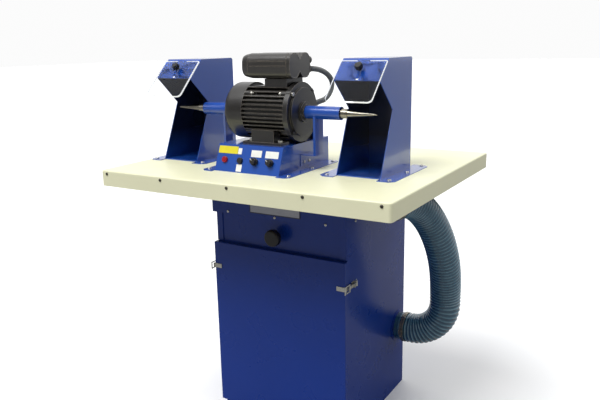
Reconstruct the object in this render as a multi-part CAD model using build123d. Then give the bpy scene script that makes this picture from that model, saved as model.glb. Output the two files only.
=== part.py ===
"""Double-ended taper-spindle finishing machine on a dust-extraction cabinet.

A bench motor drives a tapered spindle at each end.  Each spindle runs inside a sheet-metal
extraction hood with a sliding clear shield, on a cream table.  The cabinet below the table holds
a filter dust extractor, and two flexible hoses join the hoods to it.

Frame: millimetres, +Z up, floor at z = 0, -Y is the operator's side.  The origin is the centre of
the cabinet's footprint on the floor.  Machine parts on the table are drawn in "bench" coordinates
(x as in the frame, y from the spindle axis, z from the table top) and moved by on_bench().
"""
from build123d import *
import os
from math import cos, radians, sin, sqrt

# ---------------------------------------------------------------- driving dimensions
TABLE_HEIGHT = 880.0          # floor to table top
SPINDLE_Y = -250.0            # spindle axis in front of the cabinet's centre
SPINDLE_HEIGHT = 167.0        # spindle axis above the table top
TABLE_WIDTH, TABLE_DEPTH, TABLE_THICK = 950.0, 780.0, 48.0
TABLE_OFFSET_X = 40.0         # table centre to the right of the motor
TABLE_FRONT_Y = -278.0        # bench y of the table's front edge
SKIN = 3.0                    # table skin thickness
CORNER_R, EDGE_R = 10.0, 5.0  # table corner radius and top edge radius
SHEET = 2.0                   # sheet-metal thickness

CAB_HALF_W = 242.0            # cabinet shell half width
CAB_FRONT, CAB_REAR = -220.0, 225.0
FRONT_FACE_Y = -242.0         # door and top rail front face
DOOR_HALF_W = 245.0
DOOR_BOTTOM, DOOR_TOP = 24.0, TABLE_HEIGHT - 277
RAIL_BOTTOM = TABLE_HEIGHT - 173
CAB_TOP = TABLE_HEIGHT - TABLE_THICK
SHAKER_Z = TABLE_HEIGHT - 228
LATCH_Z = TABLE_HEIGHT - 359

HOOD_X = 317.0                # hood centre from the motor centre
HOOD_HALF_W = 67.5
HOOD_HEIGHT, HOOD_REAR_Y = 318.0, 158.0
HOOD_BEND = 9.0               # outside radius of the bend from the top to the rear
HOOD_SLOPE_RUN = 57.0         # run and rise of the 45 degree front slope
HOOD_TOP_FRONT_Y = -3.0
FLANGE_W = 46.0
FLANGE_FRONT_Y, FLANGE_REAR_Y = -75.0, 189.0
DUCT_Y, DUCT_R = 70.0, 48.0   # duct centre (bench y) and spigot outer radius
ELBOW_R, ELBOW_ANGLE = 62.0, 20.0   # bend under the hood, turned outwards from straight back
ELBOW_DROP, ELBOW_OUTLET = 50.0, 45.0
HOSE_BEND = 120.0             # bend of the hose into the cabinet
INLET_Y, INLET_Z = 170.0, TABLE_HEIGHT - 635

SHIELD_THICK = 6.0
SHIELD_TOP, SHIELD_BOTTOM = -13.0, -155.0   # along the slope from the hood's top front edge
STUD_S, SHIELD_TRAVEL = -45.0, 29.0
STUD_R = 3.0
RUNNING = 0.05                # radial running clearance of shafts in holes

BASE_HALF_W, BASE_H = 112.0, 77.0
BASE_FRONT_BOTTOM, BASE_FRONT_TOP, BASE_REAR = -134.0, -105.0, 155.0
BASE_FLANGE_W = 40.0
CONTROL_S = 35.0              # control centres, measured up the sloping panel
STOP_X, START_X = -81.0, -27.0
DIAL_XS = (25.0, 78.0)
POINTER_ANGLE = 50.0          # dial pointers at rest, anticlockwise from straight up
BUTTON_R, BUTTON_STROKE = 9.0, 3.0

MOTOR_R, BARREL_R = 84.0, 74.0
FRAME_LEFT, FRAME_RIGHT = -47.0, 98.0
COVER_LEFT, COVER_RIGHT = -114.0, -45.0   # fan cover
FIN_PITCH, FIN_THICK = 12.0, 3.5
SHAFT_R, SPIGOT_R = 12.0, 8.0
GUARD_R, GUARD_BORE = 19.0, 16.0
GUARD_START, GUARD_END, TAPER_TIP = 130.0, 241.0, 350.0
BRACKET_X, BRACKET_FRONT, BRACKET_REAR = 164.0, -16.0, 26.0   # post under each guard tube
BRACKET_SHELF, BRACKET_TOP = 45.0, 158.0
LUG_ANGLES = (45, 135, 225, 315)
LUG_R, NUT_R = 77.0, 6.5      # lug bolts from the axis, and their nuts
NUT_SPANS = ((-26.0, -19.0), (73.0, 80.0))   # nuts on the inner faces of the left and right lugs
LOBE_Y = (-31.0, 26.0)        # centres of the two capacitor lobes
LOBE_Z, LOBE_LEFT, LOBE_RIGHT = 299.0, -32.0, 98.0
GLAND_X, GLAND_ZS = 92.0, (312.0, 286.0)
GLAND_FACE_Y = LOBE_Y[1] + 30.0
CONDUIT_R = 8.5
BOX_GLAND_X, BOX_GLAND_Y = 85.0, 107.0   # where the conduit enters the switch enclosure
ENCLOSURE_TOP = BASE_H + 70

BAG_BOTTOM, BAG_TOP = 302.0, 560.0
BAG_XS = (-140, 0, 140)
BAG_HALF_W, BAG_HALF_D, CLOTH = 32, 162, 3
FAN_Y, FAN_R = 70.0, 120.0
FAN_FLOOR, FAN_ROOF = 610.0, 690.0
LATCH_PIN_X, LATCH_PIN_Y = 249.5, -176.0


# ---------------------------------------------------------------- helpers
def on_bench(shape):
    """Move a shape from bench coordinates to the part's frame."""
    return Pos(0, SPINDLE_Y, TABLE_HEIGHT) * shape


def block(x, y, z):
    """A box from three (low, high) pairs."""
    size = [high - low for low, high in (x, y, z)]
    centre = [(high + low) / 2 for low, high in (x, y, z)]
    return Pos(*centre) * Box(*size)


def bar_x(radius, x0, x1, y=0.0, z=0.0):
    """A cylinder along X."""
    return Pos((x0 + x1) / 2, y, z) * Rot(0, 90, 0) * Cylinder(radius, abs(x1 - x0))


def bar_y(radius, y0, y1, x=0.0, z=0.0):
    """A cylinder along Y."""
    return Pos(x, (y0 + y1) / 2, z) * Rot(90, 0, 0) * Cylinder(radius, abs(y1 - y0))


def bar_z(radius, z0, z1, x=0.0, y=0.0):
    """A cylinder along Z."""
    return Pos(x, y, (z0 + z1) / 2) * Cylinder(radius, abs(z1 - z0))


def prism_x(points, x0, x1):
    """Extrude a closed (y, z) outline along X."""
    face = make_face(Plane.YZ.offset(x0) * Polyline(*points, close=True))
    return extrude(face, amount=x1 - x0, dir=(1, 0, 0))


def mirrored(shape):
    """The same shape on the other side of the motor."""
    return mirror(shape, about=Plane.YZ)


def both_sides(shape):
    return [shape, mirrored(shape)]


def cut(body, tools):
    for tool in tools:
        body = body - tool
    return body


def screw(head_r, shank_r, length):
    """Pan-head screw: the head stands on z = 0, the shank points down."""
    head = Pos(0, 0, head_r * 0.3) * Cylinder(head_r, head_r * 0.6)
    head = chamfer(head.edges().group_by(Axis.Z)[-1], head_r * 0.25)
    return head + bar_z(shank_r, -length, 0)


def shank_hole(shank_r, length):
    return bar_z(shank_r, -length, 1)


def at_points(points, turn, shape):
    """Copies of a shape at (x, y, z) points, first turned by a rotation."""
    return [Pos(*point) * turn * shape for point in points]


def save(name, shape):
    if isinstance(shape, (list, tuple)):
        shape = Compound(children=list(shape))
    export_step(shape, f"parts/{name}.step")


# ---------------------------------------------------------------- fastener positions
UP, FORWARD = Rot(0, 0, 0), Rot(90, 0, 0)
TO_RIGHT, TO_LEFT = Rot(0, 90, 0), Rot(0, -90, 0)
SHEET_SCREW = dict(head_r=6.0, shank_r=2.5, length=24.0)
SMALL_SCREW = dict(head_r=4.5, shank_r=2.0, length=14.0)

hood_screw_points = [(side * HOOD_X + edge * (HOOD_HALF_W + 27), y, SHEET)
                     for side in (-1, 1) for edge in (-1, 1) for y in (-57.0, 65.0, 178.0)]
base_screw_points = [(side * (BASE_HALF_W + 27), y, SHEET)
                     for side in (-1, 1) for y in (-125.0, 5.0, 135.0)]
fascia_xs = [TABLE_OFFSET_X + k for k in (-450.0, -236.0, 0.0, 236.0, 450.0)]
fascia_points = [(x, TABLE_FRONT_Y, -10.5) for x in fascia_xs]
rail_points = [(x, FRONT_FACE_Y, RAIL_BOTTOM + 7) for x in (-181.0, 0.0, 181.0)]
side_points = [(CAB_HALF_W, y, RAIL_BOTTOM + 9) for y in (-166.0, 166.0)]


# ---------------------------------------------------------------- table
def table_block(inset):
    """The table slab: rounded corners and top edge, shrunk by inset on its top and sides."""
    x_low = TABLE_OFFSET_X - TABLE_WIDTH / 2 + inset
    x_high = TABLE_OFFSET_X + TABLE_WIDTH / 2 - inset
    y_low, y_high = TABLE_FRONT_Y + inset, TABLE_FRONT_Y + TABLE_DEPTH - inset
    slab = block((x_low, x_high), (y_low, y_high), (-TABLE_THICK, -inset))
    slab = fillet(slab.edges().filter_by(Axis.Z), CORNER_R - inset)
    return fillet(slab.faces().sort_by(Axis.Z)[-1].edges(), EDGE_R - inset)


def table_holes():
    foot_hole = shank_hole(SHEET_SCREW["shank_r"], SHEET_SCREW["length"])
    holes = at_points(hood_screw_points + base_screw_points, UP, foot_hole)
    fascia_hole = shank_hole(SMALL_SCREW["shank_r"], SMALL_SCREW["length"])
    holes += at_points(fascia_points, FORWARD, fascia_hole)
    holes += both_sides(bar_z(DUCT_R, -TABLE_THICK - 1, 1, HOOD_X, DUCT_Y))
    return holes


def make_table():
    holes = table_holes()
    skin = cut(table_block(0) - table_block(SKIN), holes)
    board = cut(table_block(SKIN), holes)
    save("table_skin", on_bench(skin))
    save("table_board", on_bench(board))
    fascia = at_points(fascia_points, FORWARD, screw(**SMALL_SCREW))
    save("fascia_screws", [on_bench(one) for one in fascia])


# ---------------------------------------------------------------- hoods
def slope_plane(x):
    """On the hood's front slope: local y runs up the slope, local z points out of it."""
    return Plane(origin=(x, HOOD_TOP_FRONT_Y, HOOD_HEIGHT), x_dir=(1, 0, 0), z_dir=(0, -1, 1))


def hood_outline(inset, reach):
    """(y, z) outline of the hood; reach moves the open front edge forward for the cavity."""
    slope_shift = inset * (sqrt(2) - 1)
    top_front = HOOD_TOP_FRONT_Y + slope_shift
    run = HOOD_SLOPE_RUN + reach
    nose = (top_front - run, HOOD_HEIGHT - inset - run)
    centre_y, centre_z, radius = HOOD_REAR_Y - HOOD_BEND, HOOD_HEIGHT - HOOD_BEND, HOOD_BEND - inset
    bend = [(centre_y + radius * cos(radians(angle)), centre_z + radius * sin(radians(angle)))
            for angle in (0, 22.5, 45, 67.5, 90)]
    top = [(HOOD_REAR_Y - inset, -reach), *bend, (top_front, HOOD_HEIGHT - inset), nose]
    if reach:
        return top + [(nose[0] - reach, -reach)]
    return top + [(25.0, 180.0), (-52.0, 0.0)]


def hood_flange(x0, x1, outer_x):
    """Foot flange with its outer corners clipped."""
    clip = 14.0
    inner_x = x0 if outer_x == x1 else x1
    toward = clip if outer_x < inner_x else -clip
    outline = Polyline((inner_x, FLANGE_FRONT_Y), (outer_x + toward, FLANGE_FRONT_Y),
                       (outer_x, FLANGE_FRONT_Y + clip), (outer_x, FLANGE_REAR_Y - clip),
                       (outer_x + toward, FLANGE_REAR_Y), (inner_x, FLANGE_REAR_Y), close=True)
    return extrude(make_face(outline), amount=SHEET)


def hood(x):
    outer = prism_x(hood_outline(0, 0), x - HOOD_HALF_W, x + HOOD_HALF_W)
    inner_half = HOOD_HALF_W - SHEET
    shell = outer - prism_x(hood_outline(SHEET, 60), x - inner_half, x + inner_half)
    low, high = x - HOOD_HALF_W, x + HOOD_HALF_W
    shell = shell + hood_flange(low - FLANGE_W, low + SHEET, low - FLANGE_W)
    shell = shell + hood_flange(high - SHEET, high + FLANGE_W, high + FLANGE_W)
    screw_hole = shank_hole(SHEET_SCREW["shank_r"], SHEET_SCREW["length"])
    shell = cut(shell, at_points(hood_screw_points, UP, screw_hole))
    return shell - slope_plane(x).location * Pos(0, STUD_S, 0) * Cylinder(STUD_R, 20)


def floor_grille(x):
    """Slotted floor of the hood; the slots run front to back."""
    half_w = HOOD_HALF_W - SHEET - 1
    plate = block((x - half_w, x + half_w), (-48, HOOD_REAR_Y - SHEET - 1), (0, 3))
    slot = Box(3, 180, 8)
    return cut(plate, [Pos(x + k * 6.0, 55, 0) * slot for k in range(-10, 11)])


def shield(x):
    """Clear shield on the slope with its adjusting slot; bottom corners rounded."""
    length = SHIELD_TOP - SHIELD_BOTTOM
    middle = (SHIELD_TOP + SHIELD_BOTTOM) / 2
    plate = Pos(0, middle, SHIELD_THICK / 2) * Box(2 * HOOD_HALF_W + 1, length, SHIELD_THICK)
    low_edges = plate.edges().filter_by(Axis.Z).group_by(Axis.Y)[0]
    plate = fillet(low_edges, 12)
    slot_width = 2 * (STUD_R + 0.5)
    slot = SlotCenterToCenter(SHIELD_TRAVEL + 2, slot_width, rotation=90)
    slot_centre = STUD_S - SHIELD_TRAVEL / 2
    plate = plate - Pos(0, slot_centre, -1) * extrude(slot, amount=SHIELD_THICK + 2)
    return slope_plane(x).location * plate


def shield_stud(x):
    """Fixed stud through the hood panel with its nut inside the hood."""
    rod = bar_z(STUD_R, -SHEET - 8, 22, 0, STUD_S)
    nut = extrude(Pos(0, STUD_S, -SHEET - 6) * RegularPolygon(6, 6), amount=6)
    return slope_plane(x).location * (rod + nut)


def clamp_knob(x):
    """Black knob on the stud: a stem and a fluted head."""
    knob = bar_z(6, SHIELD_THICK + 0.3, 12, 0, STUD_S) + bar_z(10.5, 12, 25, 0, STUD_S)
    knob = chamfer(knob.edges().group_by(Axis.Z)[-1], 2)
    flutes = [Pos(0, STUD_S, 0) * Rot(0, 0, k * 45) * bar_z(2.5, 10, 27, 11.8, 0) for k in range(8)]
    knob = cut(knob, flutes) - bar_z(STUD_R + RUNNING, 0, 22.5, 0, STUD_S)
    return slope_plane(x).location * knob


def elbow_direction(side):
    return (side * sin(radians(ELBOW_ANGLE)), cos(radians(ELBOW_ANGLE)), 0.0)


def elbow_points(side):
    """Corner points of the duct's centre line under the hood: top, bend start, bend end, outlet."""
    dx, dy, _ = elbow_direction(side)
    x, y = side * HOOD_X, DUCT_Y + SPINDLE_Y
    top = TABLE_HEIGHT
    bend_z = top - ELBOW_DROP
    low_z = bend_z - ELBOW_R
    far = ELBOW_R + ELBOW_OUTLET
    return [(x, y, top), (x, y, bend_z), (x + dx * ELBOW_R, y + dy * ELBOW_R, low_z),
            (x + dx * far, y + dy * far, low_z)]


def elbow(side, radius):
    """Solid bend of one radius along the duct's centre line."""
    top, start, end, outlet = elbow_points(side)
    bend = TangentArc(start, end, tangent=(0, 0, -1))
    path = Wire([Line(top, start).edge(), bend.edge(), Line(end, outlet).edge()])
    return sweep(Plane(origin=top, z_dir=(0, 0, -1)) * Circle(radius), path=path)


def hose_path(side):
    """Centre line from the elbow under the hood, out and back, to the cabinet's side inlet.

    Both ends are straight over the spigots that hold them.
    """
    dx, dy, _ = elbow_direction(side)
    _, _, (x, y, z), outlet = elbow_points(side)
    begin = (x + 4 * dx, y + 4 * dy, z)
    inlet = (side * (CAB_HALF_W + 6), INLET_Y, INLET_Z)
    inlet_end = (side * (CAB_HALF_W + 54), INLET_Y, INLET_Z)
    arc_start = (side * (CAB_HALF_W + 54 + HOSE_BEND), INLET_Y, INLET_Z + HOSE_BEND)
    middle = [(side * px, py + SPINDLE_Y, pz + TABLE_HEIGHT)
              for px, py, pz in ((383, 255, -150), (424, 366, -340))]
    free = Spline(outlet, *middle, arc_start, tangents=[(dx, dy, 0), (0, 0, -1)])
    arc = TangentArc(arc_start, inlet_end, tangent=(0, 0, -1))
    spans = [Line(begin, outlet), free, arc, Line(inlet_end, inlet)]
    return Wire([span.edge() for span in spans])


def hose(side):
    path = hose_path(side)
    start = Plane(origin=path @ 0, z_dir=path % 0)
    wall = start * (Circle(DUCT_R + 3) - Circle(DUCT_R + 0.1))
    return sweep(wall, path=path)


def hose_parts():
    """Spigots, clamps and hoses; the hood spigot passes through the table."""
    bore_r = DUCT_R - SHEET
    hood_spigot = elbow(1, DUCT_R) - elbow(1, bore_r)
    inner_x, outer_x = CAB_HALF_W - SHEET - 8, CAB_HALF_W + 50
    inlet = bar_x(DUCT_R, inner_x, outer_x, INLET_Y, INLET_Z)
    inlet = inlet + bar_x(DUCT_R + 8, CAB_HALF_W, CAB_HALF_W + 3, INLET_Y, INLET_Z)
    inlet = inlet - bar_x(bore_r, inner_x - 1, outer_x + 1, INLET_Y, INLET_Z)
    band_r = DUCT_R + 3
    band = Cylinder(band_r + 1.5, 12) - Cylinder(band_r + 0.1, 14)
    band = band + Pos(0, -band_r - 5, 0) * Rot(0, 90, 0) * Cylinder(4, 22)
    dx, dy, _ = elbow_direction(1)
    _, _, (x, y, z), _ = elbow_points(1)
    top_clamp = Plane(origin=(x + 14 * dx, y + 14 * dy, z), z_dir=(dx, dy, 0)).location * band
    low_clamp = Pos(CAB_HALF_W + 34, INLET_Y, INLET_Z) * Rot(0, 90, 0) * band
    save("hose_spigots", both_sides(hood_spigot) + both_sides(inlet))
    save("hose_clamps", both_sides(top_clamp) + both_sides(low_clamp))
    save("hose_left", hose(-1))
    save("hose_right", hose(1))


def make_hoods():
    for name, x in (("left", -HOOD_X), ("right", HOOD_X)):
        save(f"hood_{name}", on_bench(hood(x)))
        save(f"shield_{name}", on_bench(shield(x)))
        save(f"clamp_knob_{name}", on_bench(clamp_knob(x)))
    save("floor_grilles", [on_bench(floor_grille(x)) for x in (-HOOD_X, HOOD_X)])
    save("shield_studs", [on_bench(shield_stud(x)) for x in (-HOOD_X, HOOD_X)])
    hose_parts()


# ---------------------------------------------------------------- motor base and its controls
def panel_plane():
    """Sloping control panel: local y runs up the panel, local z points out of it."""
    rise = BASE_FRONT_TOP - BASE_FRONT_BOTTOM
    return Plane(origin=(0, BASE_FRONT_BOTTOM, 0), x_dir=(1, 0, 0), z_dir=(0, -BASE_H, rise))


def on_panel(x, s, shape):
    return panel_plane().location * Pos(x, s, 0) * shape


def motor_bolt_points():
    return [(x, y, BASE_H) for x in (-20.0, 80.0) for y in (-70.0, 70.0)]


def motor_base():
    outer = [(BASE_FRONT_BOTTOM, 0), (BASE_FRONT_TOP, BASE_H), (BASE_REAR, BASE_H), (BASE_REAR, 0)]
    inner = [(BASE_FRONT_BOTTOM + SHEET, -1), (BASE_FRONT_TOP + 1.6, BASE_H - SHEET),
             (BASE_REAR - SHEET, BASE_H - SHEET), (BASE_REAR - SHEET, -1)]
    shell = prism_x(outer, -BASE_HALF_W, BASE_HALF_W)
    shell = shell - prism_x(inner, -BASE_HALF_W + SHEET, BASE_HALF_W - SHEET)
    foot_low, foot_high = BASE_HALF_W - SHEET, BASE_HALF_W + BASE_FLANGE_W
    foot = block((foot_low, foot_high), (BASE_FRONT_BOTTOM - 16, BASE_REAR), (0, SHEET))
    foot = chamfer(foot.edges().filter_by(Axis.Z).group_by(Axis.X)[-1], 12)
    foot = foot - block((foot_low - 1, BASE_HALF_W), (-200, BASE_FRONT_BOTTOM), (-1, SHEET + 1))
    for side in both_sides(foot):
        shell = shell + side
    holes = at_points(base_screw_points, UP, shank_hole(SHEET_SCREW["shank_r"], 24))
    holes += [on_panel(x, CONTROL_S, Cylinder(BUTTON_R + 0.5, 20)) for x in (STOP_X, START_X)]
    holes += [on_panel(x, CONTROL_S, Cylinder(3.5, 20)) for x in DIAL_XS]
    holes += at_points(motor_bolt_points(), UP, bar_z(4, -20, 1))
    side_holes = at_points(side_screw_points(), TO_RIGHT, bar_z(2, -20, 1))
    holes += side_holes + [mirrored(hole) for hole in side_holes]
    return cut(shell, holes)


def side_screw_points():
    """Heads' seats of the screws that hold the right guard bracket's flange."""
    return [(BASE_HALF_W + SHEET, y, 20.0) for y in (3.0, 32.0)]


def push_button():
    """Button cap with its stem; it stands proud of the panel by more than its stroke."""
    cap = Pos(0, 0, 0.5) * Cylinder(BUTTON_R, 13)
    cap = chamfer(cap.edges().group_by(Axis.Z)[-1], 1.5)
    return cap + bar_z(3, -12, -5.5)


def dial():
    """Rotary knob with a pointer ridge, set to the upper left, and its spindle."""
    skirt = bar_z(11, 1, 8) + bar_z(8.5, 8, 16)
    pointer = Rot(0, 0, POINTER_ANGLE) * block((-1.5, 1.5), (-4, 10.5), (8, 17))
    return skirt + pointer + bar_z(3, -16, 1)


def control_board():
    """Circuit board behind the panel with the two potentiometers."""
    board = block((-100, 104), (16, 62), (-26, -24))
    for x in DIAL_XS:
        pot = bar_z(10, -24, -6, x, CONTROL_S) - bar_z(3 + RUNNING, -17, -5, x, CONTROL_S)
        board = board + pot
    for x in (STOP_X, START_X):
        board = board + block((x - 8, x + 8), (CONTROL_S - 8, CONTROL_S + 8), (-24, -16))
    return board


def label(x, s):
    """A thin blank label between two (low, high) pairs on the panel."""
    return block(x, s, (0, 0.6))


def make_base():
    save("motor_base", on_bench(motor_base()))
    save("stop_button", on_bench(on_panel(STOP_X, CONTROL_S, push_button())))
    save("start_button", on_bench(on_panel(START_X, CONTROL_S, push_button())))
    for name, x in zip(("left", "right"), DIAL_XS):
        save(f"dial_{name}", on_bench(on_panel(x, CONTROL_S, dial())))
    save("control_board", on_bench(on_panel(0, 0, control_board())))
    save("warning_label", on_bench(on_panel(0, 0, label((-109, -40), (54, 76)))))
    plates = [label((-39, -26), (54, 72)), label((8, 44), (49, 69)), label((57, 101), (49, 69)),
              label((-37, -18), (3, 24))]
    save("panel_labels", [on_bench(on_panel(0, 0, one)) for one in plates])
    screws = at_points(hood_screw_points + base_screw_points, UP, screw(**SHEET_SCREW))
    bracket_screws = at_points(side_screw_points(), TO_RIGHT, screw(4.5, 2, 8))
    screws += bracket_screws + [mirrored(one) for one in bracket_screws]
    save("mounting_screws", [on_bench(one) for one in screws])
    save("switch_enclosure", on_bench(switch_enclosure()))


def switch_enclosure():
    """Closed steel box behind the motor for the starter; the conduit enters its top."""
    low, high = BASE_H, ENCLOSURE_TOP
    outer = block((-20, BASE_HALF_W), (90, 124), (low, high))
    inner = block((-18, BASE_HALF_W - SHEET), (92, 122), (low + SHEET, high - SHEET))
    return outer - inner - bar_z(CONDUIT_R + 1, high - 5, high + 1, BOX_GLAND_X, BOX_GLAND_Y)


# ---------------------------------------------------------------- motor
def disc(radius, x0, x1):
    """A disc on the spindle axis."""
    return bar_x(radius, x0, x1, 0, SPINDLE_HEIGHT)


def around_axis(angle, radius, shape):
    """Move a shape drawn on the spindle axis outwards, at an angle from vertical."""
    y, z = radius * sin(radians(angle)), radius * cos(radians(angle))
    return Pos(0, y, z) * shape


def motor_frame():
    """Finned barrel with horizontal cooling fins, end lugs and two feet."""
    fins_left = COVER_RIGHT + 0.5
    left_nut, right_nut = NUT_SPANS
    body = disc(BARREL_R, FRAME_LEFT, FRAME_RIGHT)
    for k in range(-6, 7):
        z = k * FIN_PITCH
        half = sqrt(MOTOR_R**2 - z**2)
        centre = SPINDLE_HEIGHT + z
        body = body + block((fins_left, FRAME_RIGHT), (-half, half),
                            (centre - FIN_THICK / 2, centre + FIN_THICK / 2))
    for angle in LUG_ANGLES:
        for x0, x1 in NUT_SPANS:
            body = body - around_axis(angle, LUG_R, disc(NUT_R + 1, x0 - 4, x1 + 4))
        for x0, x1 in ((fins_left, left_nut[0]), (right_nut[1], FRAME_RIGHT)):
            body = body + around_axis(angle, LUG_R - 2, disc(9, x0, x1))
    body = body & disc(MOTOR_R, FRAME_LEFT, FRAME_RIGHT)
    for side in (-1, 1):
        y = sorted((side * 44.0, side * 88.0))
        body = body + block((-40, 93), y, (BASE_H, BASE_H + 8))
        body = body + block((-10, 66), sorted((side * 50.0, side * 84.0)), (BASE_H + 8, 120))
    body = body - disc(70, FRAME_LEFT - 1, FRAME_RIGHT + 1)
    body = cut(body, at_points(motor_bolt_points(), UP, bar_z(4, -1, 20)))
    return cut(body, lug_holes())


def lug_holes():
    """Holes of the bolts through the lugs."""
    return [around_axis(angle, LUG_R, disc(3, x0, x1)) for angle in LUG_ANGLES
            for x0, x1 in ((60, 114), (COVER_RIGHT - 1, -12))]


def end_shields():
    """Cast end shields with bearing seats; the right one shows, the left is inside the cover."""
    right = disc(MOTOR_R + 2, FRAME_RIGHT, 113) + disc(70, 113, 120) + disc(30, 120, 126)
    right = right + disc(23, 126, GUARD_START)
    for angle in LUG_ANGLES:
        right = right + around_axis(angle, LUG_R, disc(11, FRAME_RIGHT, 113))
    right = right - disc(70, FRAME_RIGHT - 1, 104) - disc(26, 103, 119)
    right = right - disc(GUARD_BORE, 118, GUARD_START + 1)
    right = cut(right, lug_holes())
    left = disc(80, FRAME_LEFT - 15, FRAME_LEFT) - disc(70, FRAME_LEFT - 3, FRAME_LEFT + 1)
    left = left + disc(32, FRAME_LEFT - 15, FRAME_LEFT)
    left = left - disc(26, FRAME_LEFT - 12, FRAME_LEFT + 1) - disc(15, FRAME_LEFT - 16, FRAME_LEFT)
    return [right, left]


def fan_cover():
    """Domed cover over the cooling fan, with air holes in its end."""
    left, right = COVER_LEFT, COVER_RIGHT
    cover = disc(MOTOR_R, left, right)
    cover = fillet(cover.edges().group_by(Axis.X)[0], 20)
    inside = disc(MOTOR_R - SHEET, left + SHEET, right + 1)
    inside = fillet(inside.edges().group_by(Axis.X)[0], 18)
    cover = cover - inside - disc(14, left - 1, left + SHEET + 1)
    hole = disc(4, left - 1, left + SHEET + 1)
    holes = [around_axis(360 * k / 16, radius, hole) for radius in (30, 42, 54) for k in range(16)]
    return cut(cover, holes)


def stator():
    """Laminated core and the two winding ends."""
    core = disc(70, -22, 74) - disc(42, -23, 75)
    left = disc(66, -42, -22) - disc(46, -43, -21)
    right = disc(66, 74, 94) - disc(46, 73, 95)
    return [core, left, right]


def shaft():
    """Through shaft, stepped down at both ends for the tapers."""
    return disc(SHAFT_R, -GUARD_END - 1, GUARD_END + 1) + disc(SPIGOT_R, -262, 262)


def bearings():
    """Two motor bearings in the end shields and two support bearings in the guard tubes."""
    spans = ((-59, -44, 26), (104, 119, 26), (-239, -227, GUARD_BORE), (227, 239, GUARD_BORE))
    bore = disc(SHAFT_R + RUNNING, -300, 300)
    return [disc(radius, x0, x1) - bore for x0, x1, radius in spans]


def cooling_fan():
    hub = disc(22, -92, -70) + disc(60, -73, -70)
    for k in range(7):
        turn = Pos(0, 0, SPINDLE_HEIGHT) * Rot(k * 360 / 7, 0, 0) * Pos(0, 0, -SPINDLE_HEIGHT)
        blade = block((-92, -72), (-1.5, 1.5), (SPINDLE_HEIGHT + 20, SPINDLE_HEIGHT + 60))
        hub = hub + turn * blade
    return hub - disc(SHAFT_R, -93, -69)


def taper(side):
    """Polished spindle end: a short collar and a long cone, bored to fit the shaft's step."""
    profile = Polyline((GUARD_END + 1, 0), (GUARD_END + 1, 13.5), (GUARD_END + 22, 13.5),
                       (GUARD_END + 22, 11.5), (TAPER_TIP - 2, 2.2), (TAPER_TIP, 1.2),
                       (TAPER_TIP, 0), close=True)
    cone = revolve(make_face(Plane.XZ * profile), Axis.X)
    cone = Pos(0, 0, SPINDLE_HEIGHT) * cone - disc(SPIGOT_R, GUARD_END, 262)
    return cone if side > 0 else mirrored(cone)


def guard_tubes():
    """Fixed tubes around the turning shaft, from the motor to the hoods."""
    bore = disc(GUARD_BORE, -300, 300)
    bracket = guard_bracket()
    right = disc(GUARD_R, GUARD_START, GUARD_END) + bracket - bore
    left = disc(GUARD_R, -GUARD_END, COVER_LEFT) + mirrored(bracket) - bore
    return [right, left]


def guard_bracket():
    """Folded bracket screwed to the plinth's side: flange, shelf, and post up to the tube."""
    front, rear = BRACKET_FRONT, BRACKET_REAR
    inner, outer, top = BASE_HALF_W, BRACKET_X, BRACKET_SHELF
    flange = block((inner, inner + SHEET), (front, rear + 16), (9, top))
    shelf = block((inner, outer), (front, rear + 16), (top - SHEET, top))
    post = block((outer - SHEET, outer), (front, rear), (top - SHEET, BRACKET_TOP))
    lip = block((outer - 7, outer), (front, front + SHEET), (top - SHEET, BRACKET_TOP))
    holes = at_points(side_screw_points(), TO_RIGHT, bar_z(2, -20, 1))
    return cut(flange + shelf + post + lip, holes)


def terminal_box():
    """Connection box between the barrel and the capacitor housing, saddled on the fins."""
    low, high = 215.0, 263.0
    outer = block((14, 90), (-44, 44), (low, high)) - disc(MOTOR_R + 0.2, 0, 97)
    return outer - block((17, 87), (-41, 41), (high - 10, high - 3))


def octagon(width, height, clip):
    """Octagon in a (y, z) plane, centred on the local origin."""
    y, z = width / 2, height / 2
    return [(-y, -z + clip), (-y, z - clip), (-y + clip, z), (y - clip, z),
            (y, z - clip), (y, -z + clip), (y - clip, -z), (-y + clip, -z)]


def capacitor_lobe(y, inset, x0, x1):
    outline = octagon(60 - 2 * inset, 72 - 2 * inset, 18 - 0.6 * inset)
    return Pos(0, y, LOBE_Z) * prism_x(outline, x0, x1)


def capacitor_nose(y):
    """Tapered closed end of a lobe."""
    big = make_face(Plane.YZ * Polyline(*octagon(60, 72, 18), close=True))
    small = make_face(Plane.YZ.offset(-26) * Polyline(*octagon(46, 50, 14), close=True))
    return Pos(LOBE_LEFT, y, LOBE_Z) * loft([big, small])


def capacitor_box():
    """Twin housing for the start and run capacitors, with a groove along each outer side and
    its end cover."""
    front, rear = LOBE_Y
    housing = capacitor_lobe(front, 0, LOBE_LEFT, LOBE_RIGHT)
    housing = housing + capacitor_lobe(rear, 0, LOBE_LEFT, LOBE_RIGHT)
    for y in LOBE_Y:
        housing = housing + capacitor_nose(y)
    for y in LOBE_Y:
        housing = housing - capacitor_lobe(y, 3, LOBE_LEFT + 3, LOBE_RIGHT + 1)
    groove_z = (LOBE_Z + 9, LOBE_Z + 13)
    front_y, rear_y = front - 30, rear + 30
    left = LOBE_LEFT + 5
    housing = housing - block((left, LOBE_RIGHT - 3), (front_y - 1, front_y + 1.5), groove_z)
    housing = housing - block((left, 70), (rear_y - 1.5, rear_y + 1), groove_z)
    cover_end = LOBE_RIGHT + 12
    cover = capacitor_lobe(front, 0, LOBE_RIGHT, cover_end)
    cover = cover + capacitor_lobe(rear, 0, LOBE_RIGHT, cover_end)
    return [housing - gland_bore(), cover]


def gland_bore():
    """Cable hole of the lower gland, through the housing's rear wall."""
    return bar_y(CONDUIT_R + 1, GLAND_FACE_Y - 5, GLAND_FACE_Y + 30, GLAND_X, GLAND_ZS[1])


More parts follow.
